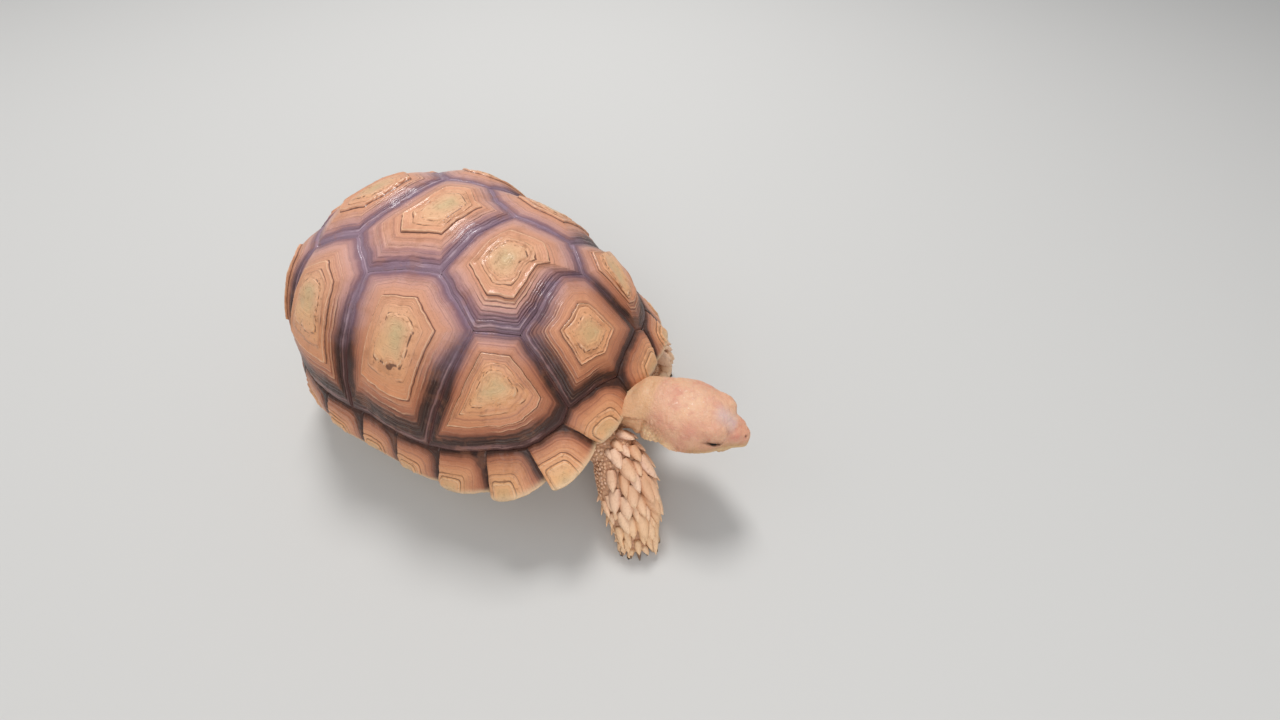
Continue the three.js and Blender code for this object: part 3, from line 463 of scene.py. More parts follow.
# %% All plates of the back
back_plates = []
for number, (names, heart, growth) in VERTEBRALS.items():
    left = [MEET[n] for n in names]
    right = [p * FLIP for p in left if abs(p[1]) > 1e-6][::-1]
    bend = [MEET["v1v2bend"], MEET["v1v2bend_right"]]
    ring = {1: left + bend + right, 2: left + right + bend[::-1]}.get(number, left + right)
    back_plates.append(horn_plate(f"vertebral_{number}", ring, heart, growth, 40 + number,
                                  {1: 0.45, 2: 0.53}.get(number, 0.5), sharp=float(number == 1),
                                  edge=1.0 if number == 2 else 0.55))
for side, word in SIDES:
    for number, (names, heart) in COSTALS.items():
        flip = np.array([1.0, side])
        corners = [MEET[n] * flip for n in names]
        growth, stretch = np.array([0.55, 0.83]) * flip, (0.0, 0.0)
        if number == 1:  # the right one's heart lies far down, the left one's is long
            heart, stretch = ((0.51, 0.385), stretch) if side < 0 else ((0.535, 0.364), (0.85, -0.37))
        back_plates.append(horn_plate(f"costal_{word}_{number}", corners, np.array(heart) * flip, growth,
                                      60 + number + 10 * (side > 0), {1: 0.56}.get(number, 0.52),
                                      stretch=stretch))
print(len(back_plates), "plates,", sum(count_triangles(p) for p in back_plates), "triangles")

# %% [markdown]
# ## The rim plates
# The marginal plates fold over the edge of the shell: an upper face, a blunt edge that stands out as a
# tooth at its hind corner, and an under face that meets the plastron. Each is one closed loop of
# section points swept along the rim, so both faces and the edge stay one piece of horn. Their areola
# sits in the outer hind corner, so the rings are L-shaped, along the upper seam and the front joint.

# %% Sizes of the rim
# Each joint: its angle at the seam and at the rim, and how far the rim stands out there.
RIM_JOINTS = [(0, 0, 0), (22.3, 16.2, 1.5), (33.9, 32, 6), (45.3, 47, 4), (60, 63.1, 1), (77, 79, 0),
              (93, 95, 0), (109, 111, 0), (124, 126, 0), (138, 140, 0.5), (151.5, 152.5, 0.8),
              (167, 166, 0.8)]
RIM_TEETH = [4.5, 9.0, 6.5, 3.0, 1.2, 1, 1.4, 2.4, 3.6, 4.2, 3.6]
TOOTH_RISE = [1.0, 0.7, 0.95, 1.1, 1.4, 1.4, 1.4, 1.4, 1.4, 1.4, 1.4]
TOOTH_FALL = [0.3, 0.2, 0.36, 0.5, 0.3, 0.3, 0.22, 0.22, 0.22, 0.22, 0.22]
WORN = 0.42  # the left front teeth are worn to this share of the right ones' reach
TURN_IN, TURN_DOWN, RIM_THICK = (15, 19, 16), (0.5, 5, 0), 3.4  # the under face: inwards, down, thick
RIM_ARCH, RIM_ROOT = 6.4, (4.6, 2.6)  # swell of the upper face; depths of the root below the dome
OLD_HORN = 0.83  # the newest horn of a rim plate is paler than on the back: its age is drawn up to this
SEAM_TRIM = 0.02  # degrees left free at each joint
print(len(RIM_TEETH), "plates on each side, teeth up to", max(RIM_TEETH), "mm")

# %% [markdown]
# ### Teeth and ages of the rim
# A tooth rises along its plate from the front joint and falls off at the hind one. The age of the horn is
# the larger of two shares, one along the rim and one across it, both measured from the areola.

# %% Teeth and ages of the rim
def tooth(along, rise, fall):
    """t^rise (1 - t)^fall, at height 1: a tooth that rises from the front joint and ends at the hind one."""
    peak = rise / (rise + fall)
    return along**rise * (1 - along)**fall / (peak**rise * (1 - peak)**fall)


def corner_age(t, v, heart_t=0.74, heart_v=0.93, power=5.0):
    """Age for an areola in the hind corner: the larger of two shares, with a rounded corner."""
    a = np.where(t < heart_t, (heart_t - t) / heart_t, (t - heart_t) / (1 - heart_t) * 0.40)
    b = np.where(v < heart_v, (heart_v - v) / heart_v, (v - heart_v) / (1 - heart_v) * 0.25)
    age = (np.abs(a)**power + np.abs(b)**power)**(1 / power)
    fast = np.where((t < heart_t) & (a > b), 1.0, np.where(v < heart_v, 0.8, 0.3)) + 0 * (t + v)
    return np.minimum(age, 1.0), fast


def middle_age(t, v):
    """Age for the plate over the tail, whose areola is on its middle line at the rim."""
    a, b = np.abs(t - 0.5) * 2, np.where(v < 0.9, (0.9 - v) / 0.9, (v - 0.9))
    return np.minimum((np.abs(a)**4 + np.abs(b)**4)**0.25, 1.0), 0.7 + 0 * (t + v)


def trimmed(start, end, t):
    """start + t (end - start), kept a hair's breadth off both joints."""
    return start + SEAM_TRIM + (end - start - 2 * SEAM_TRIM) * t


print("halfway along, a tooth has", round(float(tooth(np.array(0.5), 1, 0.25)), 2), "of its height")

# %% [markdown]
# ### One rim plate
# The upper face is the dome between seam and rim, pushed out by the tooth towards its edge. The edge
# turns in a small radius, and the under face runs inwards with a slight sag. The ends are closed with
# fans, so that each plate is a solid body of horn.

# %% One rim plate as a swept loop
def rim_plate(name, along, seam_angle, rim_angle, reach, age_of, seed, side):
    """A band of sections along the rim. Each section runs seam, upper face, edge, under face, back."""
    rng = np.random.default_rng(seed)
    upper, columns = 58, len(along)
    v = np.concatenate([[0.0, 0.012, 0.03], np.linspace(0.05, 0.93, upper - 8),
                        [0.95, 0.967, 0.981, 0.992, 1.0]])
    v, t, mirror = v[:, None], along[None], np.array([1, side])
    seam_at, rim_at = seam_angle[None], rim_angle[None]
    seam_share = np.interp(180 - np.abs(180 - seam_at), SEAM_ANGLES, SEAM_SHARES)
    place = polar(seam_share + (1 - seam_share) * v, seam_at + (rim_at - seam_at) * v)
    place = seam_wander(place * mirror) * mirror
    flat = with_zero(place * mirror)
    age, fast = age_of(t, v)
    wobble = lattice_noise(flat, 0.06, seed + 1, 2) * 0.030 + lattice_noise(flat, 0.02, seed + 2, 2) * 0.010
    age = age + wobble * smooth(0.05, 0.3, age) * (1 - smooth(0.95, 0.995, age))
    ages = np.array([0.25, 0.40, 0.57, 0.74, 0.90]) + rng.uniform(-0.03, 0.03, 5)
    steps = np.array([0.95, 0.75, 0.40, 0.35, 0.30]) * rng.uniform(0.75, 1.2, 5)
    patchy = np.clip(0.60 + 1.5 * lattice_noise(flat, 0.14, seed + 3), 0.04, 1.3)
    inner, outer = np.maximum(0.75, (0.35 + 0.75 * fast) * patchy), (0.30 + 0.60 * fast) * patchy
    rings, lip = terraces(age, ages, steps, [inner] * 2 + [outer] * 3, blunt=2.2)
    lip = 0.72 * lip
    height = RIM_ARCH * v * (1 - v) + rings
    joint = np.minimum(t, 1 - t) * (np.ptp(rim_at) * 1.8)
    height = height - 0.75 * (1 - smooth(0, 0.9, joint)) - 0.7 * (1 - smooth(0, 0.06, v))
    height = height * (1 - smooth(0.95, 1.0, v)) + 0.12 * lattice_noise(flat, 0.01, seed + 4)
    out = np.stack([np.cos(np.radians(rim_at)), np.sin(np.radians(rim_at)), 0 * rim_at], -1)
    push = (reach[None] * v**2.4)[..., None]
    over = on_dome(place, height) + out * push + np.array([0, 0, 0.15]) * push
    edge = over[-1]
    width = around_rim(TURN_IN, np.radians(rim_at[0])) + reach
    down = around_rim(TURN_DOWN, np.radians(rim_at[0]))
    o = out[0]

    def under(inward, lower):
        """A row of points so far inwards from the edge and so far below it."""
        return edge - o * np.reshape(inward, (-1, 1)) - np.array([0, 0, 1.0]) * np.reshape(lower, (-1, 1))

    one = np.ones(columns)
    turned = [under(0.10 * one, 0.55 * one), under(0.42 * one, 1.2 * one), under(0.95 * one, 1.9 * one),
              under(1.7 * one, 2.45 * one)]
    for k in np.linspace(0.12, 1.0, 12):
        sag = 0.5 * math.sin(math.pi * k) + 0.16 * math.sin(k * 26) * (1 - k)
        turned.append(under(1.7 + (width - 1.7) * k, 2.45 + (RIM_THICK + down - 2.45) * k + sag))
    halfway = polar((seam_share[0] + 1) / 2, (seam_at[0] + rim_at[0]) / 2)
    back = [under(width, down - 2.2), on_dome(halfway, np.full(columns, -RIM_ROOT[0])),
            on_dome(place[0], np.full(columns, -RIM_ROOT[1]))]
    loop = np.concatenate([over, np.stack(turned), np.stack(back)])
    loop[..., 1] *= side
    rows = len(loop)
    quads = grid_quads(rows, columns)
    c = np.arange(columns - 1)
    last = (rows - 1) * columns
    quads = np.concatenate([quads, np.stack([last + c, last + c + 1, c + 1, c], -1)])
    points = loop.reshape(-1, 3)
    caps = []
    for edge_column in (0, columns - 1):
        ring = np.arange(rows) * columns + edge_column
        hub = len(points)
        points = np.concatenate([points, loop[[3 * upper // 4, rows - 2], edge_column].mean(0)[None]])
        pair = np.stack([np.full(rows, hub), ring, np.roll(ring, -1)], -1)
        caps.append(pair if edge_column else pair[:, [0, 2, 1]])
    caps = np.concatenate(caps)
    if side < 0:
        quads, caps = quads[:, ::-1], caps[:, ::-1]
    rest = np.linspace(1.0, 0.75, len(turned))[:, None] * np.ones((1, columns))
    old = np.interp(rim_at.mean(), [25, 50], [0.79, OLD_HORN])
    newest = smooth(0.58, 0.92, age + 0.06 * lattice_noise(flat, 0.07, seed + 5))
    shown = old * age + (OLD_HORN - old) * newest
    grown = np.concatenate([np.broadcast_to(shown, over.shape[:2]), 2.0 + rest, np.full((3, columns), 2.9)])
    quick = np.concatenate([np.broadcast_to(fast, over.shape[:2]), np.ones((len(turned) + 3, columns))])
    lips = np.concatenate([lip, np.zeros((len(turned) + 3, columns))])
    rims = np.concatenate([np.broadcast_to(v**7, over.shape[:2]), np.ones((4, columns)),
                           np.zeros((len(turned) - 1, columns))])
    grown, quick, lips, rims = [np.concatenate([a.ravel(), [1.0, 1.0]]) for a in (grown, quick, lips, rims)]
    return piece(name + "_plate", points, quads, caps,
                 {"age": grown, "fast": quick, "lip": lips, "rim": rims,
                  "own": np.full(len(points), rng.uniform())}, [name])


print("the under face turns in by", TURN_IN, "mm at the front, sides and back")

# %% [markdown]
# ### The ring of rim plates
# Eleven plates lie on each side and one over the tail. The teeth of the left front are worn short.

# %% All rim plates
rim_plates = []
for side, word in SIDES:
    for k, height in enumerate(RIM_TEETH):
        (seam_a, rim_a, reach_a), (seam_b, rim_b, reach_b) = RIM_JOINTS[k], RIM_JOINTS[k + 1]
        t = np.linspace(0, 1, 61)
        t = t + 0.035 * np.sin(2 * np.pi * t) / np.pi
        rim_at = trimmed(rim_a, rim_b, t)
        reach = reach_a + (reach_b - reach_a) * t + height * tooth(t, TOOTH_RISE[k], TOOTH_FALL[k])
        reach = reach * (np.interp(rim_at, [50, 90], [WORN, 1]) if side > 0 else 1.0)
        rim_plates.append(rim_plate(f"marginal_{word}_{k + 1}", t, trimmed(seam_a, seam_b, t), rim_at, reach,
                                    corner_age, 200 + 30 * k + side, side))
t = np.linspace(0, 1, 91)
seam_a, rim_a, reach_a = RIM_JOINTS[-1]
rim_plates.append(rim_plate(
    "supracaudal", t, trimmed(seam_a, 360 - seam_a, t), trimmed(rim_a, 360 - rim_a, t),
    reach_a + 2 * (1 - (2 * t - 1)**2), middle_age, 900, 1))
print(len(rim_plates), "rim plates,", sum(count_triangles(p) for p in rim_plates), "triangles")

# %% [markdown]
# ## The plastron
# The under side is nearly flat in the middle and rises at the bridges, where it meets the rim plates,
# and at both ends. Its six pairs of plates are polar grids too, made by the same function on another
# surface, with a low relief because the ground wears them smooth.

# %% Plastron
PLASTRON_LINES = [(96, 97, 13), (70, 76, 33), (52, 50, 60), (38, 36, 74), (-36, -42, 76), (-72, -78, 47),
                  (-99, -110, 22)]
PLASTRON_NAMES = ["gular", "humeral", "pectoral", "abdominal", "femoral", "anal"]
PLASTRON_HEIGHT, PLASTRON_THICK = 20.0, 3.2


def under_shell(place, depth):
    """Plane z = 20 that rises by squares towards the bridges and the ends; depth goes downwards."""
    x, y = place[..., 0] * 100, place[..., 1] * 100
    bridge, tip = np.clip((np.abs(y) - 46) / 31, 0, 1), np.clip((np.abs(x + 5) - 55) / 50, 0, 1)
    return np.stack([x, y, PLASTRON_HEIGHT + 8 * bridge**2 + 4 * tip**2 + 0.6 - np.asarray(depth)], -1)


plastron_plates = []
for side, word in SIDES:
    for k, name in enumerate(PLASTRON_NAMES):
        (mid_a, edge_a, y_a), (mid_b, edge_b, y_b) = PLASTRON_LINES[k], PLASTRON_LINES[k + 1]
        corners = [np.array(c) / 100 for c in
                   [(mid_a, 0), (edge_a, side * y_a), (edge_b, side * y_b), (mid_b, 0)]]
        heart = 0.22 * (corners[0] + corners[3]) + 0.28 * (corners[1] + corners[2])
        plastron_plates.append(horn_plate(
            f"{name}_{word}", corners, heart, (0, -side), 1000 + 10 * k + (side > 0), 0.5, 0.5, under_shell,
            PLASTRON_THICK - 0.9, 0.45, True))
print(len(plastron_plates), "plastron plates,", sum(count_triangles(p) for p in plastron_plates), "triangles")

# %% [markdown]
# ## The flesh as one skin
# Head, neck, legs and tail are one hide with no joints, so they are made as overlapping closed lofts and
# then wrapped in a single surface by a voxel remesh. A loft is a profile carried along a path: each
# station gives a place, two half widths and a cross direction, and a spline fills in between. The skin
# stays inside the solids by the depth of the scales that grow on it later.

# %% Lofts along limbs
COAT = 1.1  # how deep the scales stand on the legs
SECTION = 0.9  # power of the sections: 1 is an ellipse, less is boxier


def spline(rows, per):
    """Catmull-Rom through the rows: a cubic that passes each row with the slope of its neighbours."""
    rows = np.asarray(rows, float)
    ext = np.concatenate([2 * rows[:1] - rows[1:2], rows, 2 * rows[-1:] - rows[-2:-1]])
    t = np.linspace(0, 1, per, endpoint=False)[:, None]
    out = []
    for a, b, c, d in zip(ext[:-3], ext[1:-2], ext[2:-1], ext[3:]):
        out.append(0.5 * (2 * b + (c - a) * t + (2 * a - 5 * b + 4 * c - d) * t**2
                          + (3 * b - a - 3 * c + d) * t**3))
    return np.concatenate(out + [rows[-1:]])


class Limb:
    """A limb's centre line with its half widths and cross directions, sampled densely."""

    def __init__(self, stations, per=14):
        at = np.array([s[0] for s in stations], float)
        size = np.array([s[1] for s in stations], float)
        across = np.array([s[2] for s in stations], float)
        along = np.gradient(at, axis=0)
        for k, s in enumerate(stations):
            if len(s) > 3:
                along[k] = s[3]
        rows = spline(np.concatenate([at, size, across, unit(along)], 1), per)
        self.at, self.size = rows[:, :3], rows[:, 3:5]
        self.along = unit(rows[:, 8:])
        self.across = rows[:, 5:8]
        self.across = unit(self.across - self.along * np.sum(self.along * self.across, -1, keepdims=True))
        self.deep = np.cross(self.along, self.across)
        steps = np.linalg.norm(np.diff(self.at, axis=0), axis=1)
        self.run = np.concatenate([[0], np.cumsum(steps)])

    def rows_at(self, share):
        """Centre, sizes and directions at shares of the length."""
        at = np.asarray(share) * self.run[-1]
        pick = lambda a: np.stack([np.interp(at, self.run, a[:, k]) for k in range(a.shape[1])], -1)
        return [pick(a) for a in (self.at, self.size, self.across, self.deep, self.along)]

    def surface(self, share, angle, grow=0.0):
        """Centre + across w sgn(cos)|cos|^0.9 + deep d sgn(sin)|sin|^0.9, grown outwards in mm."""
        centre, size, across, deep, _ = self.rows_at(share)
        c, s = np.cos(angle), np.sin(angle)
        c, s = np.sign(c) * np.abs(c)**SECTION, np.sign(s) * np.abs(s)**SECTION
        return (centre + across * (c * (size[..., 0] + grow))[..., None]
                + deep * (s * (size[..., 1] + grow))[..., None])

    def frame_on(self, share, angle, grow=0.0):
        """Point, outward normal and the direction towards the foot on the surface."""
        e = 0.004
        point = self.surface(share, angle, grow)
        way = unit(self.surface(np.minimum(share + e, 1), angle, grow)
                   - self.surface(np.maximum(share - e, 0), angle, grow))
        round_it = self.surface(share, angle + 0.03, grow) - self.surface(share, angle - 0.03, grow)
        return point, unit(np.cross(round_it, way)), way


print("a spline of 4 rows with 14 steps each has", len(spline(np.eye(4), 14)), "rows")

# %% [markdown]
# ### Where the limbs run
# The animal is walking slowly: the right foreleg reaches forwards, the left one carries weight, and the
# hind legs push. Each station gives a place, the two half widths and the cross direction. The last ones
# of a leg also turn its line straight down, so that the sole is level.

# %% Centre lines
ACROSS = (0, 1, 0)
LIMBS = {
    "leg_front_right": Limb([
        ((72, -32, 41), (13, 12), (.2, 1, 0)), ((92, -28, 41.5), (12.5, 12), (.5, .8, 0)),
        ((106, -26.5, 42), (13.5, 11.5), (.7, .7, 0)), ((117, -31, 37), (16, 11.5), (.8, .6, 0)),
        ((128, -39.5, 27), (16.8, 11), (.85, .5, 0)), ((136.5, -46, 17), (15.2, 10.6), (.82, .55, 0)),
        ((141, -50, 8), (12.8, 11), (.8, .6, 0), (.2, -.2, -1)),
        ((142.5, -51, -1), (12.2, 11), (.8, .6, 0), (0, 0, -1))]),
    "leg_front_left": Limb([
        ((56, 38, 40), (14, 13), (0, 1, 0)), ((73, 45, 38), (15, 13.5), (-.3, 1, 0)),
        ((84, 52, 31), (15.5, 13), (-.4, 1, 0)), ((88.5, 57, 21), (15, 12), (-.35, 1, 0)),
        ((87.5, 59, 12), (13.5, 11), (-.3, 1, 0)), ((87.5, 59.5, 5), (13, 11.5), (-.25, 1, 0), (0, .1, -1)),
        ((87.5, 60, -1), (12.5, 11.5), (-.2, 1, 0), (0, 0, -1))]),
    "leg_hind_right": Limb([
        ((-58, -36, 42), (17, 16), ACROSS), ((-74, -48, 34), (17.5, 16.5), (.3, 1, 0)),
        ((-86, -56, 25), (16.5, 15.5), (.3, 1, 0)), ((-95, -60, 15), (15, 14), (.2, 1, 0)),
        ((-99, -62, 6), (14.5, 14.5), ACROSS, (-.2, 0, -1)),
        ((-100, -62, -1), (14, 14), ACROSS, (0, 0, -1))]),
    "leg_hind_left": Limb([
        ((-48, 36, 42), (17, 16), ACROSS), ((-57, 50, 34), (17.5, 17), ACROSS),
        ((-61, 61, 25), (16.5, 16.5), ACROSS), ((-62, 66, 15), (15, 15), ACROSS),
        ((-62, 67.5, 6), (14.5, 14.5), ACROSS, (0, .1, -1)),
        ((-62, 68, -1), (14, 14), ACROSS, (0, 0, -1))]),
    "tail": Limb([
        ((-82, 0, 36), (13, 12), ACROSS), ((-100, 1, 33), (11, 10), ACROSS),
        ((-112, 3, 28), (8, 7.5), ACROSS), ((-120, 5, 22), (5, 4.8), ACROSS),
        ((-124, 6.5, 17), (1.6, 1.5), ACROSS)]),
}
HEAD_AT, HEAD_TURN, HEAD_NOD = np.array([121, 5.2, 60.2]), math.radians(9), math.radians(-2)
ct, st, cn, sn = math.cos(HEAD_TURN), math.sin(HEAD_TURN), math.cos(-HEAD_NOD), math.sin(-HEAD_NOD)
TURN, NOD = np.array([[ct, -st, 0], [st, ct, 0], [0, 0, 1]]), np.array([[cn, 0, sn], [0, 1, 0], [-sn, 0, cn]])
HEAD_AXES = TURN @ NOD


def from_head(points):
    """Head millimetres (x to the snout, y left, z up) to body millimetres."""
    return np.asarray(points, float) @ HEAD_AXES.T + HEAD_AT


def to_head(points):
    """Body millimetres to head millimetres."""
    return (np.asarray(points, float) - HEAD_AT) @ HEAD_AXES


nape, skull_back = from_head([-12, -3.6, -6.0]), from_head([2, -1.2, -2])
LIMBS["neck"] = Limb([
    ((66, 3, 41), (16.5, 14), ACROSS), ((88, 3, 40), (15, 12.4), ACROSS),
    ((100, 0.6, 40.6), (12.8, 11.0), ACROSS), (nape, (14.6, 12.0), ACROSS), (skull_back, (15, 12.4), ACROSS)])


def ball(centre, radii, turn=0.0, rows=24, columns=32):
    """An ellipsoid: latitude rings from -x to +x, turned about z by an angle."""
    a = np.linspace(0.06, np.pi - 0.06, rows)[:, None]
    b = full_turn(columns)[None]
    p = np.stack([-np.cos(a) + 0 * b, np.sin(a) * np.cos(b), np.sin(a) * np.sin(b)], -1) * np.array(radii)
    c, s = math.cos(turn), math.sin(turn)
    p = p @ np.array([[c, -s, 0], [s, c, 0], [0, 0, 1]]).T
    return ring_solid(p + np.array(centre))


print("limbs, mm long:", {k: round(float(v.run[-1]), 1) for k, v in LIMBS.items()})

# %% [markdown]
# ### The skull under the skin
# A tortoise's head is a flat-topped wedge: widest behind the eyes over the jaw muscles, with a brow over
# each eye, a step down to the blunt snout, and a beak instead of lips. The loft gives the wedge. Small
# ellipsoids add the jaw muscles, brows, lids, snout and chin, and the remesh melts them together.

# %% Head stations
HEAD_ROWS = np.array([
    (-4, 15.6, 11.6, -13.6), (4, 18.4, 14.0, -16.0), (13, 21.4, 15.7, -17.3), (21, 22.0, 16.5, -17.3),
    (28, 20.4, 16.9, -16.7), (34, 17.8, 16.7, -15.8), (39, 14.6, 15.4, -14.8), (43.5, 10.2, 12.6, -13.6),
    (48, 7.0, 9.4, -12.2), (52, 5.2, 7.0, -10.4), (55.4, 4.0, 4.9, -7.4), (56.8, 2.1, 1.6, -4.6)])
EYE_AT, EYE_RADIUS, GAZE = np.array([37.5, 12.0, 5.2]), 4.6, np.array([0.28, 0.89, 0.36])
NOSTRIL_AT, EAR_AT = np.array([54.2, 2.3, 4.9]), (17.5, -3.0)
MOUTH_BACK, MOUTH_HEIGHT = 17.0, -6.4
rows = spline(HEAD_ROWS, 6)
turn = full_turn(64)[None]
c, s = np.cos(turn), np.sin(turn)
SKULL_SECTION = 0.84  # power of the sections, a little boxier than an ellipse
width, above, below = rows[:, 1:2], rows[:, 2:3], rows[:, 3:4]
skull_rings = np.stack([
    rows[:, :1] + 0 * c, width * np.sign(c) * np.abs(c)**SKULL_SECTION,
    (above + below) / 2 + (above - below) / 2 * np.sign(s) * np.abs(s)**SKULL_SECTION], -1)
head_parts = [ring_solid(skull_rings)]
for side in (-1, 1):
    flip = np.array([1, side, 1])
    head_parts += [
        ball(np.array([15.5, 14.2, -2.5]) * flip, (12.0, 8.0, 11.5), side * 0.1),
        ball(np.array([36.0, 10.4, 9.4]) * flip, (8.8, 5.3, 6.0), -side * 0.25),
        ball(EYE_AT * flip + np.array([0, -0.5 * side, 0.2]), (6.3, 5.3, 5.3), -side * 0.25),
        ball(np.array([46.0, 4.2, 3.4]) * flip, (7.5, 4.2, 5.8), -side * 0.2),
        ball(np.array([-1.0, 9.6 - 0.8 * side, -9.2]) * flip, (14.0, 9.0, 8.6), side * 0.12),
    ]
head_parts += [ball((49.6, 0, -1.2), (6.6, 4.9, 6.4)), ball((40.0, 0, -10.5), (10.2, 9.8, 4.6)),
               ball((-6.5, -2.2, 0.0), (9.5, 12.6, 10.6)), ball((-5.0, 5.0, -1.5), (10.0, 11.0, 11.0))]
head_parts = [(from_head(p), q, f) for p, q, f in head_parts]
print(len(head_parts), "solids under the head's skin")

# %% [markdown]
# ### The trunk
# Inside the shell the soft body follows the vault at a distance and stands on a flat just above the
# plastron. Only its edges show, between the legs and the rim.

# %% Trunk inside the shell
TRUNK_FLOOR, UNDER_HORN = 25.2, 5.6  # height of its flat; how far it stays below the dome
angle = np.radians(np.linspace(0, 360, 96, endpoint=False))[None]
wall = around_rim((0.77, 0.77, 0.85), angle)
share = np.linspace(0.02, 1, 26)[:, None] * wall
top = on_dome(np.stack([share * np.cos(angle), share * np.sin(angle)], -1), -UNDER_HORN)
foot = top[-1].copy()
foot[:, 2] = TRUNK_FLOOR
walls = top[-1] + (foot - top[-1]) * np.linspace(0.1, 1, 16)[:, None, None]
floor_rings = foot + (np.array([APEX_X, 0, TRUNK_FLOOR]) - foot) * np.linspace(0.1, 0.98, 12)[:, None, None]
points, quads, fans = ring_solid(np.concatenate([top, walls, floor_rings]))
trunk_part = (points, *turned_over(quads, fans))
print("trunk", np.round(np.ptp(points, axis=0), 1), "mm long, wide and high")

# %% [markdown]
# ### One surface over everything
# The voxel remesh turns the heap of closed solids into one even surface of small quads. The legs are drawn
# in first by the depth of the scales that will cover them.

# %% Wrap the skin
VOXEL = 1.12
parts = head_parts + [trunk_part]
LEG_NAMES = ["leg_front_right", "leg_front_left", "leg_hind_right", "leg_hind_left"]
for name, limb in LIMBS.items():
    shares = np.linspace(0, 1, len(limb.run))
    inset = -COAT if name in LEG_NAMES else -0.5
    parts.append(ring_solid(limb.surface(*np.meshgrid(shares, full_turn(56), indexing="ij"), inset)))
counts = np.cumsum([0] + [len(p[0]) for p in parts])
skin = piece("skin", np.concatenate([p[0] for p in parts]),
             np.concatenate([p[1] + n for p, n in zip(parts, counts)]),
             np.concatenate([p[2] + n for p, n in zip(parts, counts)]),
             nodes=["head", "jaw", "neck", "trunk", "tail"] + LEG_NAMES)


def apply_modifiers(thing):
    """Bake the live modifiers of an object into its own mesh."""
    graph = bpy.context.evaluated_depsgraph_get()
    old = thing.data
    fresh = bpy.data.meshes.new_from_object(thing.evaluated_get(graph), depsgraph=graph)
    thing.modifiers.clear()
    thing.data = fresh
    fresh.name = old.name
    bpy.data.meshes.remove(old)


wrap = skin.modifiers.new("wrap", "REMESH")
wrap.mode = "VOXEL"
wrap.voxel_size = VOXEL * MM
wrap.adaptivity = 0.0
apply_modifiers(skin)
print("skin after the wrap:", count_triangles(skin), "triangles")

# %% [markdown]
# ### Relax, then thin where nothing shows
# The remesh leaves small stairs and sharp corners where solids met. Moving each point towards the mean of
# its neighbours melts them, as real skin does over muscle. Deep inside the shell the mesh is thinned.

# %% Relax and thin

def body_points(mesh):
    """Vertex places of a mesh in body millimetres."""
    co = np.empty(len(mesh.vertices) * 3)
    mesh.vertices.foreach_get("co", co)
    co = co.reshape(-1, 3) / MM
    return np.stack([SHIFT - co[:, 1], co[:, 0], co[:, 2]], -1)


def set_body_points(mesh, points):
    """Write body millimetres back into a mesh."""
    mesh.vertices.foreach_set("co", to_row(points).ravel())
    mesh.update()


def relax(mesh, points, rounds):
    """Move every point halfway to the mean of its neighbours, a few times."""
    edges = np.empty(len(mesh.edges) * 2, dtype=np.int32)
    mesh.edges.foreach_get("vertices", edges)
    a, b = edges.reshape(-1, 2).T
    n = len(points)
    degree = np.bincount(a, minlength=n) + np.bincount(b, minlength=n)
    for _ in range(rounds):
        total = np.stack([np.bincount(a, points[b, k], n) + np.bincount(b, points[a, k], n)
                          for k in range(3)], -1)
        points = points + (total / np.maximum(degree, 1)[:, None] - points) * 0.5
    return points


def hidden_by_shell(points):
    """1 deep inside the shell, where only plates show, and 0 near its openings and outside it."""
    x, y, z = points.T
    inside = smooth(0.0, 8.0, 74 - np.abs(y)) * smooth(0, 10, 84 - x) * smooth(0, 8, x + 92)
    return inside * (1 - smooth(24, 30, np.abs(y)) * (smooth(25, 60, x) + smooth(-20, -45, x)))


HIDDEN_SHARE = 0.05  # of the points that nobody sees, this share is kept
points = relax(skin.data, body_points(skin.data), 6)
set_body_points(skin.data, points)
hidden = (hidden_by_shell(points) > 0.5) | ((points[:, 2] > 62) & (points[:, 0] < 100))
group = skin.vertex_groups.new(name="hidden")
group.add(np.nonzero(hidden)[0].tolist(), 1.0, "REPLACE")
thin = skin.modifiers.new("thin", "DECIMATE")
thin.vertex_group = "hidden"
thin.ratio = float((np.sum(~hidden) + HIDDEN_SHARE * np.sum(hidden)) / len(points))
apply_modifiers(skin)
skin.vertex_groups.clear()
print("skin after thinning:", count_triangles(skin), "triangles")

# %% [markdown]
# ### A finer mesh where the eye goes
# The lids, nostrils and mouth line are a few tenths of a millimetre deep, so the head and neck need
# smaller faces than the legs, which are covered by scales anyway. Splitting every face there into four
# gives that without a second remesh of the whole body.

# %% Finer mesh on the head and neck
def limb_place(limb, points):
    """Share along, angle round and distance in radii of points about a limb's centre line."""
    pick = slice(None, None, 2)
    at, size = limb.at[pick], limb.size[pick]
    best = np.argmin(((points[:, None] - at[None])**2).sum(-1), axis=1)
    rel = points - at[best]
    a = np.arctan2(np.sum(rel * limb.deep[pick][best], -1) / size[best, 1],
                   np.sum(rel * limb.across[pick][best], -1) / size[best, 0])
    shift = np.sum(rel * limb.along[pick][best], -1)
    share = np.clip((limb.run[pick][best] + shift) / limb.run[-1], 0, 1)
    return share, a, np.linalg.norm(rel, axis=-1) / size[best].mean(-1)


def refine(mesh, wanted):
    """Split every face whose points are all wanted into four."""
    bm = bmesh.new()
    bm.from_mesh(mesh)
    bm.verts.ensure_lookup_table()
    faces = [f for f in bm.faces if all(wanted[v.index] for v in f.verts)]
    edges = {e for f in faces for e in f.edges}
    bmesh.ops.subdivide_edges(bm, edges=list(edges), cuts=1, use_grid_fill=True)
    bmesh.ops.triangulate(bm, faces=[f for f in bm.faces if len(f.verts) > 4])
    bm.to_mesh(mesh)
    bm.free()


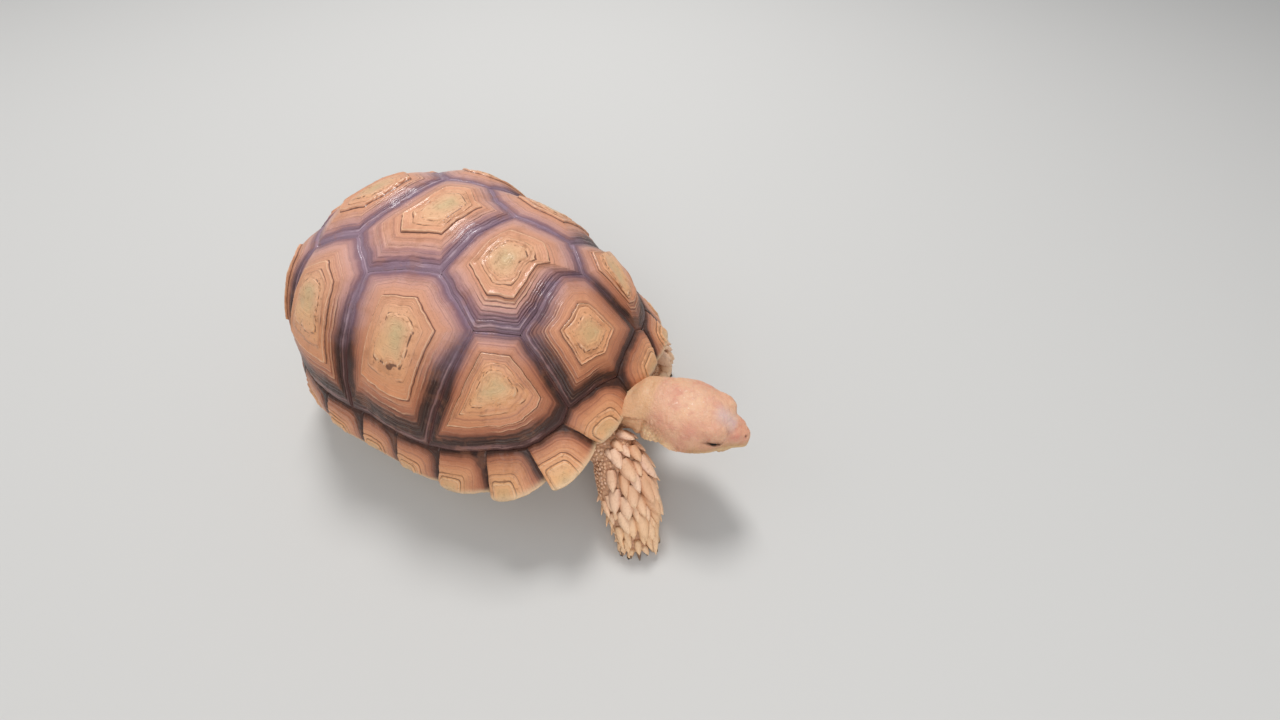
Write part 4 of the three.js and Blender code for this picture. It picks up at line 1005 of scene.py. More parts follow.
points = body_points(skin.data)
head_at = to_head(points)
wanted = (head_at[:, 0] > -22) & (np.abs(head_at[:, 1]) < 30) & (head_at[:, 2] > -24)
refine(skin.data, wanted)
set_body_points(skin.data, relax(skin.data, body_points(skin.data), 2))
print("skin after refining:", count_triangles(skin), "triangles")

# %% [markdown]
# ### Relief of the hide
# The hide of a tortoise is a pavement of small scales that never quite touch. Cell noise gives this
# pavement: the gap between the nearest and the next site is small along the borders, so it makes the
# grooves. The cells are large and flat on the top of the head, small on the cheeks and neck. All the
# relief is gathered as one height for each point, and moves the points once at the end.

# %% Pavement of the head
def bell(x, width):
    """exp(-(x/width)^2), a smooth ridge or groove."""
    return np.exp(-((np.asarray(x) / width) ** 2))


points = body_points(skin.data)
normals = np.empty(len(points) * 3)
skin.data.vertex_normals.foreach_get("vector", normals)
normals = normals.reshape(-1, 3)
normals = np.stack([-normals[:, 1], normals[:, 0], normals[:, 2]], -1)
head_at = to_head(points)
x, y, z = head_at.T
on_head = smooth(-4, 1, x) * (np.abs(y) < 30) * (z > -24)
warp = points + 1.1 * np.stack([lattice_noise(points, 4.5, s) for s in (21, 22, 23)], -1)
small_1, small_2, small_no = cell_noise(warp, 2.3, 31)
large_1, large_2, _ = cell_noise(warp, 5.6, 32)
small_gap, large_gap = small_2 - small_1, large_2 - large_1
small_groove, large_groove = 1 - smooth(0.03, 0.30, small_gap), 1 - smooth(0.015, 0.13, large_gap)
pavement = smooth(0.0, 0.5, small_gap)
crown = smooth(2.5, 8.0, z) * smooth(0, 8, x) * on_head
cheek, off_snout = on_head * (1 - crown), 1 - smooth(44, 50, x)
relief, gap, eye_and_nostril_shade = np.zeros((3, len(points)))
# The relief sinks the grooves between scales, and the gap value paints shade into them.
relief += crown * (0.20 * smooth(0.0, 0.45, large_gap) - 0.08 * large_groove)
gap += crown * large_groove * 0.15
relief += cheek * (0.20 * pavement - 0.06 * small_groove) * off_snout
gap += cheek * small_groove * 0.3 * off_snout
print(int(on_head.sum()), "points on the head, of", len(points))

# %% [markdown]
# ### Eyelids, ear and nostrils
# The lids are a low rim round an almond slit, with a heavy upper lid and creases over it. The slit is
# sunk, so that the eyeball shows inside it. The ear is a shallow round field behind the corner of the
# mouth, and a nostril is a pit on each side of the snout's tip.

# %% Lids, ears and nostrils
for side in (-1, 1):
    mirror = np.array([1, side, 1])
    facing = unit(GAZE * mirror)
    forward = unit(np.cross([0, 0, side * 1.0], facing))
    forward = forward * np.sign(forward[0])
    rise = np.cross(facing, forward)
    rise = rise * np.sign(rise[2])
    rel = head_at - EYE_AT * mirror
    a, b, c = rel @ forward, rel @ rise, rel @ facing
    near = smooth(1.0, 2.4, c) * bell(np.maximum(np.abs(a) - 5.5, 0), 2.5)
    half = 1.05 * np.sqrt(np.clip(1 - (a / 3.9)**2, 0, 1))
    over = b - half * 0.95
    below = -b - half * 0.85
    outside = np.maximum(over, below)
    inside = np.clip(-outside, 0, None)
    slit = near * smooth(0.0, 0.42, inside) * (np.abs(a) < 4.1)
    relief -= slit * 2.6
    rim = near * bell(outside - 0.55, 0.5) * (np.abs(a) < 5.8)
    relief += rim * np.where(b > 0, 0.55, 0.32)
    relief -= near * (0.34 * bell(over - 2.1, 0.34) + 0.22 * bell(over - 3.5, 0.4)) * (np.abs(a) < 6.5)
    relief -= near * 0.30 * bell(below - 1.9, 0.4) * (np.abs(a) < 6)
    # Painted shade: the creases over and under the lids and a band round the slit are darkened, and so are
    # the lid walls inside the slit, with a soft brown ring round it.
    gap += near * (0.5 * bell(over - 2.1, 0.4) + 0.4 * bell(below - 1.9, 0.4) + bell(outside - 0.3, 0.7))
    eye_and_nostril_shade = np.maximum(eye_and_nostril_shade, near * smooth(0.45, -0.1, outside) * smooth(5.4, 4.2, np.abs(a)))
    brown = near * 0.55 * bell(np.clip(outside, 0, None), 1.2)
    eye_and_nostril_shade = np.maximum(eye_and_nostril_shade, brown * smooth(6.8, 4.0, np.abs(a)))
    ear = ((x - EAR_AT[0]) / 4.6)**2 + ((z - EAR_AT[1]) / 4.4)**2
    relief -= (0.9 * (1 - smooth(0.2, 1.1, ear)) - 0.35 * bell(ear - 1.25, 0.3)) * (y * side > 12) * on_head
    nose = head_at[np.argmin(np.linalg.norm(head_at - NOSTRIL_AT * mirror, axis=-1))]
    nostril = np.linalg.norm(head_at - nose, axis=-1)
    relief -= 1.5 * (1 - smooth(0.35, 1.15, nostril)) - 0.25 * bell(nostril - 1.6, 0.4)
    # Painted shade in the nostril pit.
    eye_and_nostril_shade = np.maximum(eye_and_nostril_shade, 0.7 * (1 - smooth(0.4, 1.0, nostril)))
print("lids and nostrils reach", round(float(relief.min()), 2), "mm deep")

# %% [markdown]
# ### Mouth line and beak
# The mouth is a groove that dips behind the beak and turns down at its corner, with a swollen edge over
# it. The horn of the beak lies on both sides of the line.

# %% Mouth
mouth_line = MOUTH_HEIGHT + 0.9 * bell(x - 55.5, 4.0) - 0.9 * bell(x - 44, 5) + 1.6 * smooth(24, 17, x)
on_mouth = smooth(MOUTH_BACK - 1, MOUTH_BACK + 2, x) * on_head
relief -= on_mouth * 0.95 * bell(z - mouth_line, 0.42)
relief += on_mouth * 0.42 * bell(z - mouth_line - 1.15, 0.8) * smooth(26, 34, x)
# Painted shade in the mouth groove.
gap += on_mouth * 0.9 * bell(z - mouth_line, 0.5)
horn = on_head * smooth(27, 33, x) * bell(np.maximum(np.abs(z - mouth_line + 0.2) - 2.0, 0), 1.0)
print("mouth line from", round(float(mouth_line.min()), 1), "to", round(float(mouth_line.max()), 1), "mm")

# %% [markdown]
# ### The nape
# The nape is a sleeve of loose skin over the neck. Its hem hangs low on both sides, and a crease parts it
# from the skull. Both are measured in the neck's own frame, so that they follow it.

# %% Nape and throat
share, around, away = limb_place(LIMBS["neck"], points)
on_neck = (away < 1.35) * (1 - smooth(-3, 1, x)) * smooth(84, 90, points[:, 0])
dome_side = np.abs(around - math.pi / 2)
dome_side = np.minimum(dome_side, 2 * math.pi - dome_side)
hem = 1.22 + 0.10 * lattice_noise(points, 9.0, 41)
sleeve = (1 - smooth(hem - 0.05, hem + 0.03, dome_side)) * on_neck
past_hem = dome_side - hem
relief += sleeve * (0.6 + 0.5 * bell(past_hem + 0.08, 0.12)) - on_neck * 0.9 * bell(past_hem - 0.10, 0.08)
relief -= on_neck * (1 - sleeve) * 0.5
# Painted shade under the hem of the sleeve.
gap += on_neck * 0.9 * bell(past_hem - 0.07, 0.06)
crease = bell(x + 2.2 + 0.05 * (y**2) / 10, 1.0) * (np.abs(y) < 26) * (z > -22)
relief -= crease * (0.12 + 1.1 * smooth(5, -3, z))
pleats = lattice_noise(np.stack([share * 3, around * 9, 0 * share], -1), 1.0, 42, 2)
relief += on_neck * (0.35 * pleats * (1 - sleeve * 0.7) + 0.16 * pavement * (1 - 0.6 * sleeve))
# Painted shade in the grooves of the neck's pavement.
gap += on_neck * 0.35 * small_groove * (1 - sleeve * 0.6)
temple = on_head * bell(x - 4, 7) * smooth(9, 3, z)
relief += temple * 0.30 * pavement
# Painted shade in the grooves of the temple's pavement.
gap += temple * 0.5 * small_groove
relief += on_head * smooth(-9, -13, z) * 0.3 * smooth(0.0, 0.4, small_gap)
print("sleeve of loose skin over", int((sleeve > 0.5).sum()), "points")

# %% [markdown]
# ### Legs, tail, and the move itself
# Legs and tail have the same pavement, and folds where they leave the shell. Then all points move along
# their normals at once, and none goes through the ground.

# %% Legs and tail
on_legs = np.zeros(len(points))
for name in LEG_NAMES + ["tail"]:
    share_k, around_k, away_k = limb_place(LIMBS[name], points)
    mine = (away_k < 1.3) * smooth(0.05, 0.3, share_k)
    folds = lattice_noise(np.stack([share_k * 9, around_k * 1.1, 0 * share_k], -1), 1.0, 50 + len(name), 2)
    relief += mine * 0.9 * folds * (1 - smooth(0.3, 0.62, share_k))
    on_legs = np.maximum(on_legs, mine)
relief += on_legs * (0.34 * pavement - 0.12 * small_groove)
# Painted shade in the grooves between the scales of the legs and tail.
gap += on_legs * small_groove * 0.8
above_floor = smooth(0.0, 1.5, points[:, 2])
points = points + normals * (relief * above_floor)[:, None]
points[:, 2] = np.maximum(points[:, 2], 0.0)
set_body_points(skin.data, points)
print("relief from", round(float(relief.min()), 2), "to", round(float(relief.max()), 2), "mm")

# %% [markdown]
# ### Where the colours of the hide lie
# Blood shows through at the cheek, the snout, behind the eye and on the crown. The top of the snout has a
# lilac cast, and the crown is pale and flaky. Each zone is a sum of smooth bells in the head's own frame,
# written on the points next to the gaps and the lids.

# %% Colour zones on the points
pink = on_head * (0.6 * bell(np.hypot(x - 21, z + 1.0), 5.0) + 0.9 * bell(x - 49.5, 3.5) * smooth(2, 6, z)
                  + 0.9 * bell(np.hypot(np.hypot(x - 24.5, np.abs(y) - 17), z - 11), 5.0) * smooth(4, 8, z)
                  + 0.45 * bell(x - 36, 4) * bell(np.abs(y) - 10, 3.5) * smooth(9, 13, z)
                  + 0.65 * bell(np.hypot(x - 8.5, y - 1), 6.5) * smooth(8, 13, z))
lilac = on_head * smooth(31, 38, x) * (1 - smooth(45, 49, x)) * bell(y + 1.5, 5.5) * smooth(7, 11, z)
pale = on_head * bell(x - 17, 13) * bell(y + 1, 10) * smooth(7, 13, z)
values = {"gap": gap, "pink": pink, "lilac": lilac, "pale": pale, "horn": horn, "lids": eye_and_nostril_shade,
          # jaw: painted shade, an olive brown on the lower front of the head.
          "jaw": on_head * smooth(5, -5, z) * smooth(18, 30, x),
          "throat": on_head * smooth(5, -5, z) * smooth(26, 12, x),
          "head": on_head, "nape": on_neck, "leg": on_legs, "cell": small_no}
for key, value in values.items():
    value = np.clip(value, 0, 1).astype(np.float32)
    skin.data.attributes.new(key, "FLOAT", "POINT").data.foreach_set("value", value)
skin.data.shade_smooth()
print("values on the skin:", ", ".join(values))

# %% [markdown]
# ## What grows on the skin
# The forelegs of this species wear an armour of big pointed scales that overlap towards the foot, set in
# uneven rows on the front and outer face, with spurs along the edges. The rest is a pavement of small
# round scales. Both are made the same way: one small closed shape is worked out once, and copies are laid
# on the limb with three directions of the place: outwards, towards the foot and across. Their places come
# from staggered rows for the big ones, and from throwing darts with a least distance for the small ones.

# %% Two shapes of scale
def leaf_shape(rings=6, columns=8, point=0.75, keel=0.5):
    """A pointed scale: width falls to the tip, the upper face is arched, the tip curves outwards."""
    i = np.linspace(0, 1, rings)[:, None]
    width = (1 - i**2.4) ** point * (0.72 + 0.62 * i - 0.5 * i**2) + 0.03
    turn = full_turn(columns)[None] + np.pi / columns
    c, s = np.cos(turn), np.sin(turn)
    thick = 0.42 * (1 - i**3) + 0.1
    lift = 0.30 * i**1.7
    zs = np.where(s > 0, thick * s * (1 + keel * (1 - np.abs(c))), thick * 0.45 * s - 0.55 * (1 - i) ** 1.5)
    return ring_solid(np.stack([i + 0 * c - 0.12, width * c, zs + lift], -1))


def dome_shape(columns=8):
    """A round scale: a ring sunk in the skin, a shoulder, a crown and a middle."""
    radius, height = np.array([1.0, 1.0, 0.78, 0.34])[:, None], np.array([-0.7, 0.05, 0.62, 0.92])[:, None]
    turn = full_turn(columns)[None]
    return ring_solid(np.stack([radius * np.cos(turn), radius * np.sin(turn), height + 0 * turn], -1))


LEAF, SPUR, DOME = leaf_shape(keel=0.8), leaf_shape(point=0.95, keel=0.2), dome_shape()
GROUND = 0.05  # nothing that grows on the skin comes nearer to the floor than this, in mm
print("faces: leaf", len(LEAF[1]) + len(LEAF[2]), "dome", len(DOME[1]) + len(DOME[2]))

# %% [markdown]
# ### Laying copies on a limb
# A copy is the small shape times its length, width and height, along the three directions of its place.
# All the copies of a limb are one array and one mesh. Each carries its own number, so that neighbours
# differ in colour, and a small patch of the baking map.

# %% Copies of one shape
coat = []


def lay_scales(kind, leg, share, angle, sizes, shape, seed, lean=0.0, grow=-COAT):
    """Copies of one shape on a limb: root + x L way + y W across + z H outwards, joined in one mesh."""
    rng = np.random.default_rng(seed)
    points, quads, fans = shape
    root, outward, way = LIMBS[leg].frame_on(share, angle, grow)
    way = unit(way + np.cross(outward, way) * rng.normal(0, 0.17, len(share))[:, None])
    tilt = np.asarray(lean) + np.zeros(len(share))
    way, outward = (unit(way * np.cos(tilt)[:, None] + outward * np.sin(tilt)[:, None]),
                    unit(outward * np.cos(tilt)[:, None] - way * np.sin(tilt)[:, None]))
    side = np.cross(outward, way)
    size = np.stack(sizes, -1)[:, None, :] * points[None]
    body = (root[:, None] + size[..., :1] * way[:, None] + size[..., 1:2] * side[:, None]
            + size[..., 2:] * outward[:, None])
    body[..., 2] = np.maximum(body[..., 2], GROUND)
    n, m = len(share), len(points)
    offset = (np.arange(n) * m)[:, None, None]
    tip = np.broadcast_to(np.clip(points[:, 0], 0, 1), (n, m))
    crown = np.broadcast_to(np.clip(points[:, 2], 0, 1), (n, m))
    own = np.repeat(rng.uniform(0, 1, n), m)
    name = kind if leg == "tail" else leg.replace("leg", kind)
    made = piece(name, body.reshape(-1, 3), (quads[None] + offset).reshape(-1, 4),
                 (fans[None] + offset).reshape(-1, 3),
                 {"tip": tip, "crown": crown, "own": own, "share": np.repeat(share, m)})
    spot = np.stack([angle / (2 * np.pi) % 1.0, share], -1)
    spread = points[:, :2] / np.ptp(points[:, :2], axis=0) * 0.003
    patch = (spot[:, None] + spread[None]).reshape(-1, 2)
    index = np.empty(len(made.data.loops), dtype=np.int32)
    made.data.loops.foreach_get("vertex_index", index)
    made.data.uv_layers.new(name="OFBake").data.foreach_set("uv", patch[index].ravel())
    coat.append(made)


print("scales stand", COAT, "mm deep in the legs' outline")

# %% [markdown]
# ### Where scales sit
# Real scales grow in whorls round the limb and never line up. Staggered rows with some scatter give the
# armour, with its biggest scales on the middle of the outer face. Darts with a least distance give the
# pavement, and a mask on angle and share keeps the two apart.

# %% Where scales sit
def throw_darts(limb, count, size_at, keep, seed):
    """Places on a limb at least two radii apart: random darts, and one that falls too near is dropped."""
    rng = np.random.default_rng(seed)
    share, angle = rng.uniform(0.12, 0.985, count), rng.uniform(-np.pi, np.pi, count)
    size = size_at(share, angle) * rng.uniform(0.8, 1.15, count)
    wanted = keep(share, angle) > rng.uniform(0, 1, count)
    share, angle, size = share[wanted], angle[wanted], size[wanted]
    spot = limb.surface(share, angle, -COAT)
    taken = []
    for k in range(len(share)):
        away = np.linalg.norm(spot[taken] - spot[k], axis=-1)
        if spot[k, 2] >= 0.8 and not np.any(away < 0.93 * (size[taken] + size[k])):
            taken.append(k)
    return share[taken], angle[taken], size[taken]


def rows_of_leaves(rows, first, last, angle_from, angle_to, pitch, limb, seed):
    """Staggered rows round a limb: every second row is shifted by half a scale."""
    rng = np.random.default_rng(seed)
    shares, angles = [], []
    for k in range(rows):
        share = first + (last - first) * (k + 0.5) / rows
        radius = limb.rows_at(share)[1].mean()
        count = max(2, int(round(abs(angle_to - angle_from) * radius / pitch)))
        at = angle_from + (angle_to - angle_from) * (np.arange(count) + (0.25 if k % 2 else 0.75)) / count
        shares.append(share + rng.normal(0, 0.008, count))
        angles.append(at + rng.normal(0, 0.05, count))
    return np.concatenate(shares), np.concatenate(angles)


def turn_gap(angle, middle):
    """Distance between two angles, at most pi."""
    return np.abs((angle - middle + np.pi) % (2 * np.pi) - np.pi)


print("half a turn and a quarter are", round(float(turn_gap(math.pi, math.pi / 2)), 3), "apart")

# %% [markdown]
# ### Armour, spurs and pebbles
# On each foreleg the leaves cover the front and outer face, biggest on its middle, spurs stand along both
# edges, and pebbles fill the rest. The hind legs have pebbles and a few blunt spurs at the heel and sole,
# and the tail has small leaves.

# %% Coat of the legs and tail
# For each foreleg: the angle of the middle of its armour and of its two edges with spurs.
ARMOUR = {"leg_front_right": (0.95, -0.12, 3.0), "leg_front_left": (1.2, -0.1, 3.1)}
DARTS = 9000
for name, (middle, front_edge, back_edge) in ARMOUR.items():
    limb, seed = LIMBS[name], 300 + len(name)
    share, angle = np.concatenate([
        rows_of_leaves(11, 0.34, 0.97, front_edge - 0.25, front_edge + 2.1, 6.4, limb, seed),
        rows_of_leaves(5, 0.60, 0.98, front_edge + 2.05, front_edge + 2.75, 5.5, limb, seed + 9)], axis=1)
    rng = np.random.default_rng(seed + 1)
    big = 1 - 0.42 * smooth(0.6, 1.5, turn_gap(angle, middle))
    big = big * (0.8 + 0.2 * smooth(0.36, 0.5, share)) * rng.uniform(0.7, 1.4, len(share))
    long = big * rng.uniform(0.85, 1.4, len(share))
    long = long * (0.8 + 0.2 * smooth(0.42, 0.58, share) + 0.2 * smooth(0.7, 0.95, share))
    slim = 1 - 0.22 * smooth(0.72, 0.95, share)
    lay_scales("armour", name, share, angle, (11.4 * long, 4.1 * big * slim, 2.9 * big), LEAF, seed + 2, 0.17)
    share = np.concatenate([np.linspace(0.40, 0.9, 7), np.linspace(0.62, 0.93, 5)])
    angle = np.concatenate([np.full(7, front_edge - 0.15), np.full(5, back_edge)]) + rng.normal(0, 0.08, 12)
    long = rng.uniform(0.8, 1.25, 12) * np.concatenate([[0.8, 1.25, 1.1, 0.9, 0.8, 0.8, 0.7], [0.6] * 5])
    lay_scales("spurs", name, share, angle, (8.5 * long, 2.7 * long, 2.5 * long), SPUR, seed + 3, 0.42)

    def off_armour(s, a):
        """1 away from the leaves, 0 among them; the leaves reach further round low on the leg."""
        low = 0.3 * smooth(0.5, 0.6, s)
        gap = turn_gap(a, front_edge + 0.85 + low) - low
        return np.maximum(smooth(1.05, 1.25, gap), 1 - smooth(0.30, 0.36, s))

    share, angle, size = throw_darts(
        limb, DARTS, lambda s, a: 0.95 + 0.5 * smooth(0.75, 0.95, s) + 0.4 * (1 - smooth(0.15, 0.4, s)),
        off_armour, seed + 4)
    lay_scales("pebbles", name, share, angle, (size * 1.12, size, size * 0.62), DOME, seed + 5)
HEEL_SPURS = np.array([(0.36, -1.5, 1.3), (0.44, -1.05, 1.0), (0.48, -1.9, 0.9), (0.56, -1.4, 0.8),
                       (0.9, -1.4, 0.7), (0.9, -0.9, 0.6), (0.9, -1.9, 0.6)])  # share, angle, size
for name in ("leg_hind_right", "leg_hind_left"):
    limb, seed = LIMBS[name], 400 + len(name)
    share, angle, size = throw_darts(limb, DARTS, lambda s, a: 1.25 + 0.9 * smooth(0.6, 0.95, s),
                                     lambda s, a: 1.0 + 0 * s, seed + 1)
    lay_scales("pebbles", name, share, angle, (size * 1.15, size, size * 0.6), DOME, seed + 2)
    share, angle, long = HEEL_SPURS.T
    lay_scales("spurs", name, share, angle, (9.0 * long, 3.6 * long, 3.4 * long), SPUR, seed + 3, 0.5)
limb = LIMBS["tail"]
share, angle, size = throw_darts(limb, 4000, lambda s, a: 1.2 - 0.5 * s, lambda s, a: (s > 0.2) * 1.0, 500)
lay_scales("tail_scales", "tail", share, angle, (size * 1.5, size, size * 0.6), LEAF, 501, 0.05, -0.5)
print("scales:", {c.name: count_triangles(c) for c in coat})

# %% [markdown]
# ### Claws
# Five blunt claws on each forefoot and four on each hind foot, flattened and bent towards the ground.
# Each is a sweep of rings whose radius falls along a curve, with its root sunk in the foot.

# %% Claws
def claw_rings(root, tip, radius, rows=14, columns=14):
    """A horn that bends down: radius falls as (1 - t^1.8), flattened from above, sunk at its root."""
    root, tip = np.array(root, float), np.array(tip, float)
    t = np.linspace(-0.25, 1, rows)[:, None]
    at = root + (tip - root) * t + np.array([0, 0, 1.0]) * (1.6 * np.clip(t, 0, 1) * (1 - np.clip(t, 0, 1)))
    along = unit(np.gradient(at, axis=0))
    across = unit(np.cross([0, 0, 1.0], along))
    deep = np.cross(along, across)
    r = radius * (1 - np.clip(t, 0, 1) ** 1.8) + 0.18
    turn = full_turn(columns)[None, :, None]
    return at[:, None] + (across[:, None] * np.cos(turn) + deep[:, None] * np.sin(turn) * 0.82) * r[:, None]


# Each toe: how far it stands aside, its length and how far it is set back.
FORE_TOES = [(k * 4.4, 5 - 0.5 * abs(k), 1.5 * abs(k)) for k in (-2, -1, 0, 1, 2)]
HIND_TOES = [(k * 6, 6, 1.4 * abs(k)) for k in (-1.5, -0.5, 0.5, 1.5)]
# Each foot: its middle, heading in degrees, reach, height of the claws' roots, their radius and toes.
FEET = {"leg_front_right": ((142.5, -51), -48, 9.5, 3.6, 2.1, FORE_TOES),
        "leg_front_left": ((87.5, 60), 12, 12, 4.2, 2.3, FORE_TOES),
        "leg_hind_right": ((-100, -62), -14, 14, 4.0, 2.9, HIND_TOES),
        "leg_hind_left": ((-62, 68), 10, 14, 4.0, 2.9, HIND_TOES)}
CLAW_ROOT, CLAW_TIP = 5, 0.75  # how deep a root sits in the foot, and how high a tip ends, in mm
claws = []
for name, (foot_at, heading, reach, high, radius, toes) in FEET.items():
    ahead = np.array([math.cos(math.radians(heading)), math.sin(math.radians(heading)), 0])
    sideways = np.array([-ahead[1], ahead[0], 0])
    parts, count = [], 0
    for across, length, set_back in toes:
        base = np.array([*foot_at, high]) + sideways * across + ahead * (reach - CLAW_ROOT - set_back)
        tip = base + ahead * (length + CLAW_ROOT) + sideways * across * 0.12
        tip[2] = CLAW_TIP
        p, q, f = ring_solid(claw_rings(base, tip, radius))
        p[:, 2] = np.maximum(p[:, 2], GROUND)
        parts.append((p, q + count, f + count))
        count += len(p)
    points = np.concatenate([p[0] for p in parts])
    claws.append(piece(name.replace("leg", "claws"), points, np.concatenate([p[1] for p in parts]),
                       np.concatenate([p[2] for p in parts])))
print(len(claws), "sets of claws")

# %% [markdown]
# ### Eyes
# The eyeball is a sphere with a slight bulge for the cornea. The angle from the gaze is written on the
# points, so that the pupil and iris are rings of that angle.

# %% Eyes
CORNEA = 0.35  # how far the cornea stands out, in mm
eyes = []
for side, word in SIDES:
    mirror = np.array([1, side, 1])
    points, quads, fans = ball((0, 0, 0), (EYE_RADIUS - CORNEA,) * 3, rows=40, columns=64)
    facing = unit(GAZE * mirror)
    forward = unit(np.cross([0, 0, 1.0], facing))
    frame_to = np.stack([facing, forward, np.cross(facing, forward)], -1)
    gaze = np.clip(points[:, 0] / (EYE_RADIUS - CORNEA), -1, 1)
    bulge = CORNEA * smooth(0.72, 1.0, gaze)
    points = points * (1 + bulge / EYE_RADIUS)[:, None]
    points = from_head(points @ frame_to.T + EYE_AT * mirror)
    eyes.append(piece(f"eyeball_{word}", points, quads, fans, {"gaze": np.degrees(np.arccos(gaze))},
                      [f"eye_{word}"]))
print("eyes", [e.name for e in eyes])

# %% [markdown]
# ## Finishes
# Horn, hide and eye are described by what varies over them: the age of the horn, the gaps between
# scales, the tips of scales. Those values are already on the points, so the materials follow the rings
# and scales exactly. Effects that several finishes share are node groups that put out only colours,
# masks and heights. The shader itself, with its constant values, stays in each material.

# %% Small helpers for nodes
def srgb(r, g, b):
    """Colour from 0..255 display values to linear light."""
    c = np.array([r, g, b]) / 255
    return tuple(np.where(c <= 0.04045, c / 12.92, ((c + 0.055) / 1.055) ** 2.4)) + (1.0,)


class Nodes:
    """Adds nodes to a tree; every call returns the output socket that carries the result."""

    def __init__(self, tree):
        self.tree = tree

    def fill(self, sockets, inputs):
        """Link a socket to each input, or set a plain value on it."""
        for key, value in inputs.items():
            if isinstance(value, bpy.types.NodeSocket):
                self.tree.links.new(value, sockets[key])
            else:
                sockets[key].default_value = value

    def add(self, kind, inputs=None, out=0, **settings):
        """One node with its settings and inputs."""
        made = self.tree.nodes.new("ShaderNode" + kind)
        for key, value in settings.items():
            setattr(made, key, value)
        self.fill(made.inputs, inputs or {})
        return made.outputs[out]

    def attributes(self, *names):
        """Values that were written on the points."""
        return [self.add("Attribute", out="Fac", attribute_name=name) for name in names]

    def place(self):
        """Object coordinates, in metres of the part."""
        return self.add("TexCoord", out="Object")

    def times(self, a, b):
        """a times b."""
        return self.add("Math", {0: a, 1: b}, operation="MULTIPLY")

    def plus(self, a, b):
        """a and b added."""
        return self.add("Math", {0: a, 1: b}, operation="ADD")

    def minus(self, a, b):
        """b taken from a."""
        return self.add("Math", {0: a, 1: b}, operation="SUBTRACT")

    def swing(self, value, reach):
        """(value - 0.5) reach: noise about 0.5 turned into a swing about 0."""
        return self.times(self.minus(value, 0.5), reach)

    def noise(self, vector, scale, detail=2.0, rough=0.5):
        """Smooth noise about 0.5; scale is in waves for each metre."""
        return self.add("TexNoise", {"Vector": vector, "Scale": scale, "Detail": detail, "Roughness": rough})

    def bands(self, value, scale, detail):
        """Noise along one value, which gives lines of equal value."""
        return self.add("TexNoise", {"W": value, "Scale": scale, "Detail": detail}, noise_dimensions="1D")

    def step(self, value, low, high, to_low=0.0, to_high=1.0):
        """to_low up to low, to_high from high on, and a smooth way between them."""
        return self.add("MapRange", {"Value": value, "From Min": low, "From Max": high, "To Min": to_low,
                                     "To Max": to_high}, interpolation_type="SMOOTHSTEP")

    def mix(self, factor, a, b):
        """Colour a where the factor is 0, b where it is 1."""
        return self.add("Mix", {0: factor, 6: a, 7: b}, out=2, data_type="RGBA")

    def layers(self, colour, *coats):
        """Lay colours over one another, each given as a mask and a colour, or a mask, share and colour."""
        for mask, *share, over in coats:
            over = srgb(*over) if isinstance(over, tuple) else over
            colour = self.mix(self.times(mask, share[0]) if share else mask, colour, over)
        return colour

    def ramp(self, value, stops):
        """A colour ramp through (place, colour) stops."""
        made = self.tree.nodes.new("ShaderNodeValToRGB")
        self.tree.links.new(value, made.inputs[0])
        while len(made.color_ramp.elements) < len(stops):
            made.color_ramp.elements.new(0.5)
        for element, (at, colour) in zip(made.color_ramp.elements, stops):
            element.position, element.color = at, srgb(*colour)
        return made.outputs[0]

    def bumps(self, *heights):
        """One bump over another, each given as a height and how many metres it stands for."""
        normal = {}
        for height, distance in heights:
            bump = self.add("Bump", {"Height": height, "Distance": distance, **normal}, out="Normal")
            normal = {"Normal": bump}
        return bump


def group(name, inputs, outputs):
    """A node group with named sockets; returns the group, its helper, its inputs and its exit node."""
    made = bpy.data.node_groups.new(name, "ShaderNodeTree")
    for key, kind, value in inputs:
        socket = made.interface.new_socket(key, in_out="INPUT", socket_type="NodeSocket" + kind)
        socket.default_value = value
    for key, kind in outputs:
        made.interface.new_socket(key, in_out="OUTPUT", socket_type="NodeSocket" + kind)
    enter, leave = made.nodes.new("NodeGroupInput"), made.nodes.new("NodeGroupOutput")
    return made, Nodes(made), enter.outputs, leave.inputs


def finish(name, roughness=0.5, **constants):
    """A new material with its Principled shader; constants go straight on the shader's sockets."""
    made = bpy.data.materials.new(name)
    made.use_nodes = True
    shader = made.node_tree.nodes["Principled BSDF"]
    shader.inputs["Roughness"].default_value = roughness
    for key, value in constants.items():
        shader.inputs[key.replace("_", " ")].default_value = value
    return made, Nodes(made.node_tree), shader.inputs


def use_group(nodes, made, inputs):
    """Place a group in a tree and return its outputs."""
    node = nodes.tree.nodes.new("ShaderNodeGroup")
    node.node_tree = made
    nodes.fill(node.inputs, inputs)
    return node.outputs


def put_on(things, material):
    """Give the material to every piece of a list."""
    for thing in things:
        thing.data.materials.append(material)
    print(material.name, "with", len(material.node_tree.nodes), "nodes on", len(things), "pieces")


print("a middle grey on a display is", round(float(srgb(128, 128, 128)[0]), 3), "of the light")

# %% [markdown]
# ### Growth rings
# Between the big steps lie dozens of hair-thin lines, one for each spell of growth. They're bands of
# one-dimensional noise along the age of the horn, so they run with the outline of the plate however it
# bends. The number of each plate shifts its noise, so that no two plates repeat.

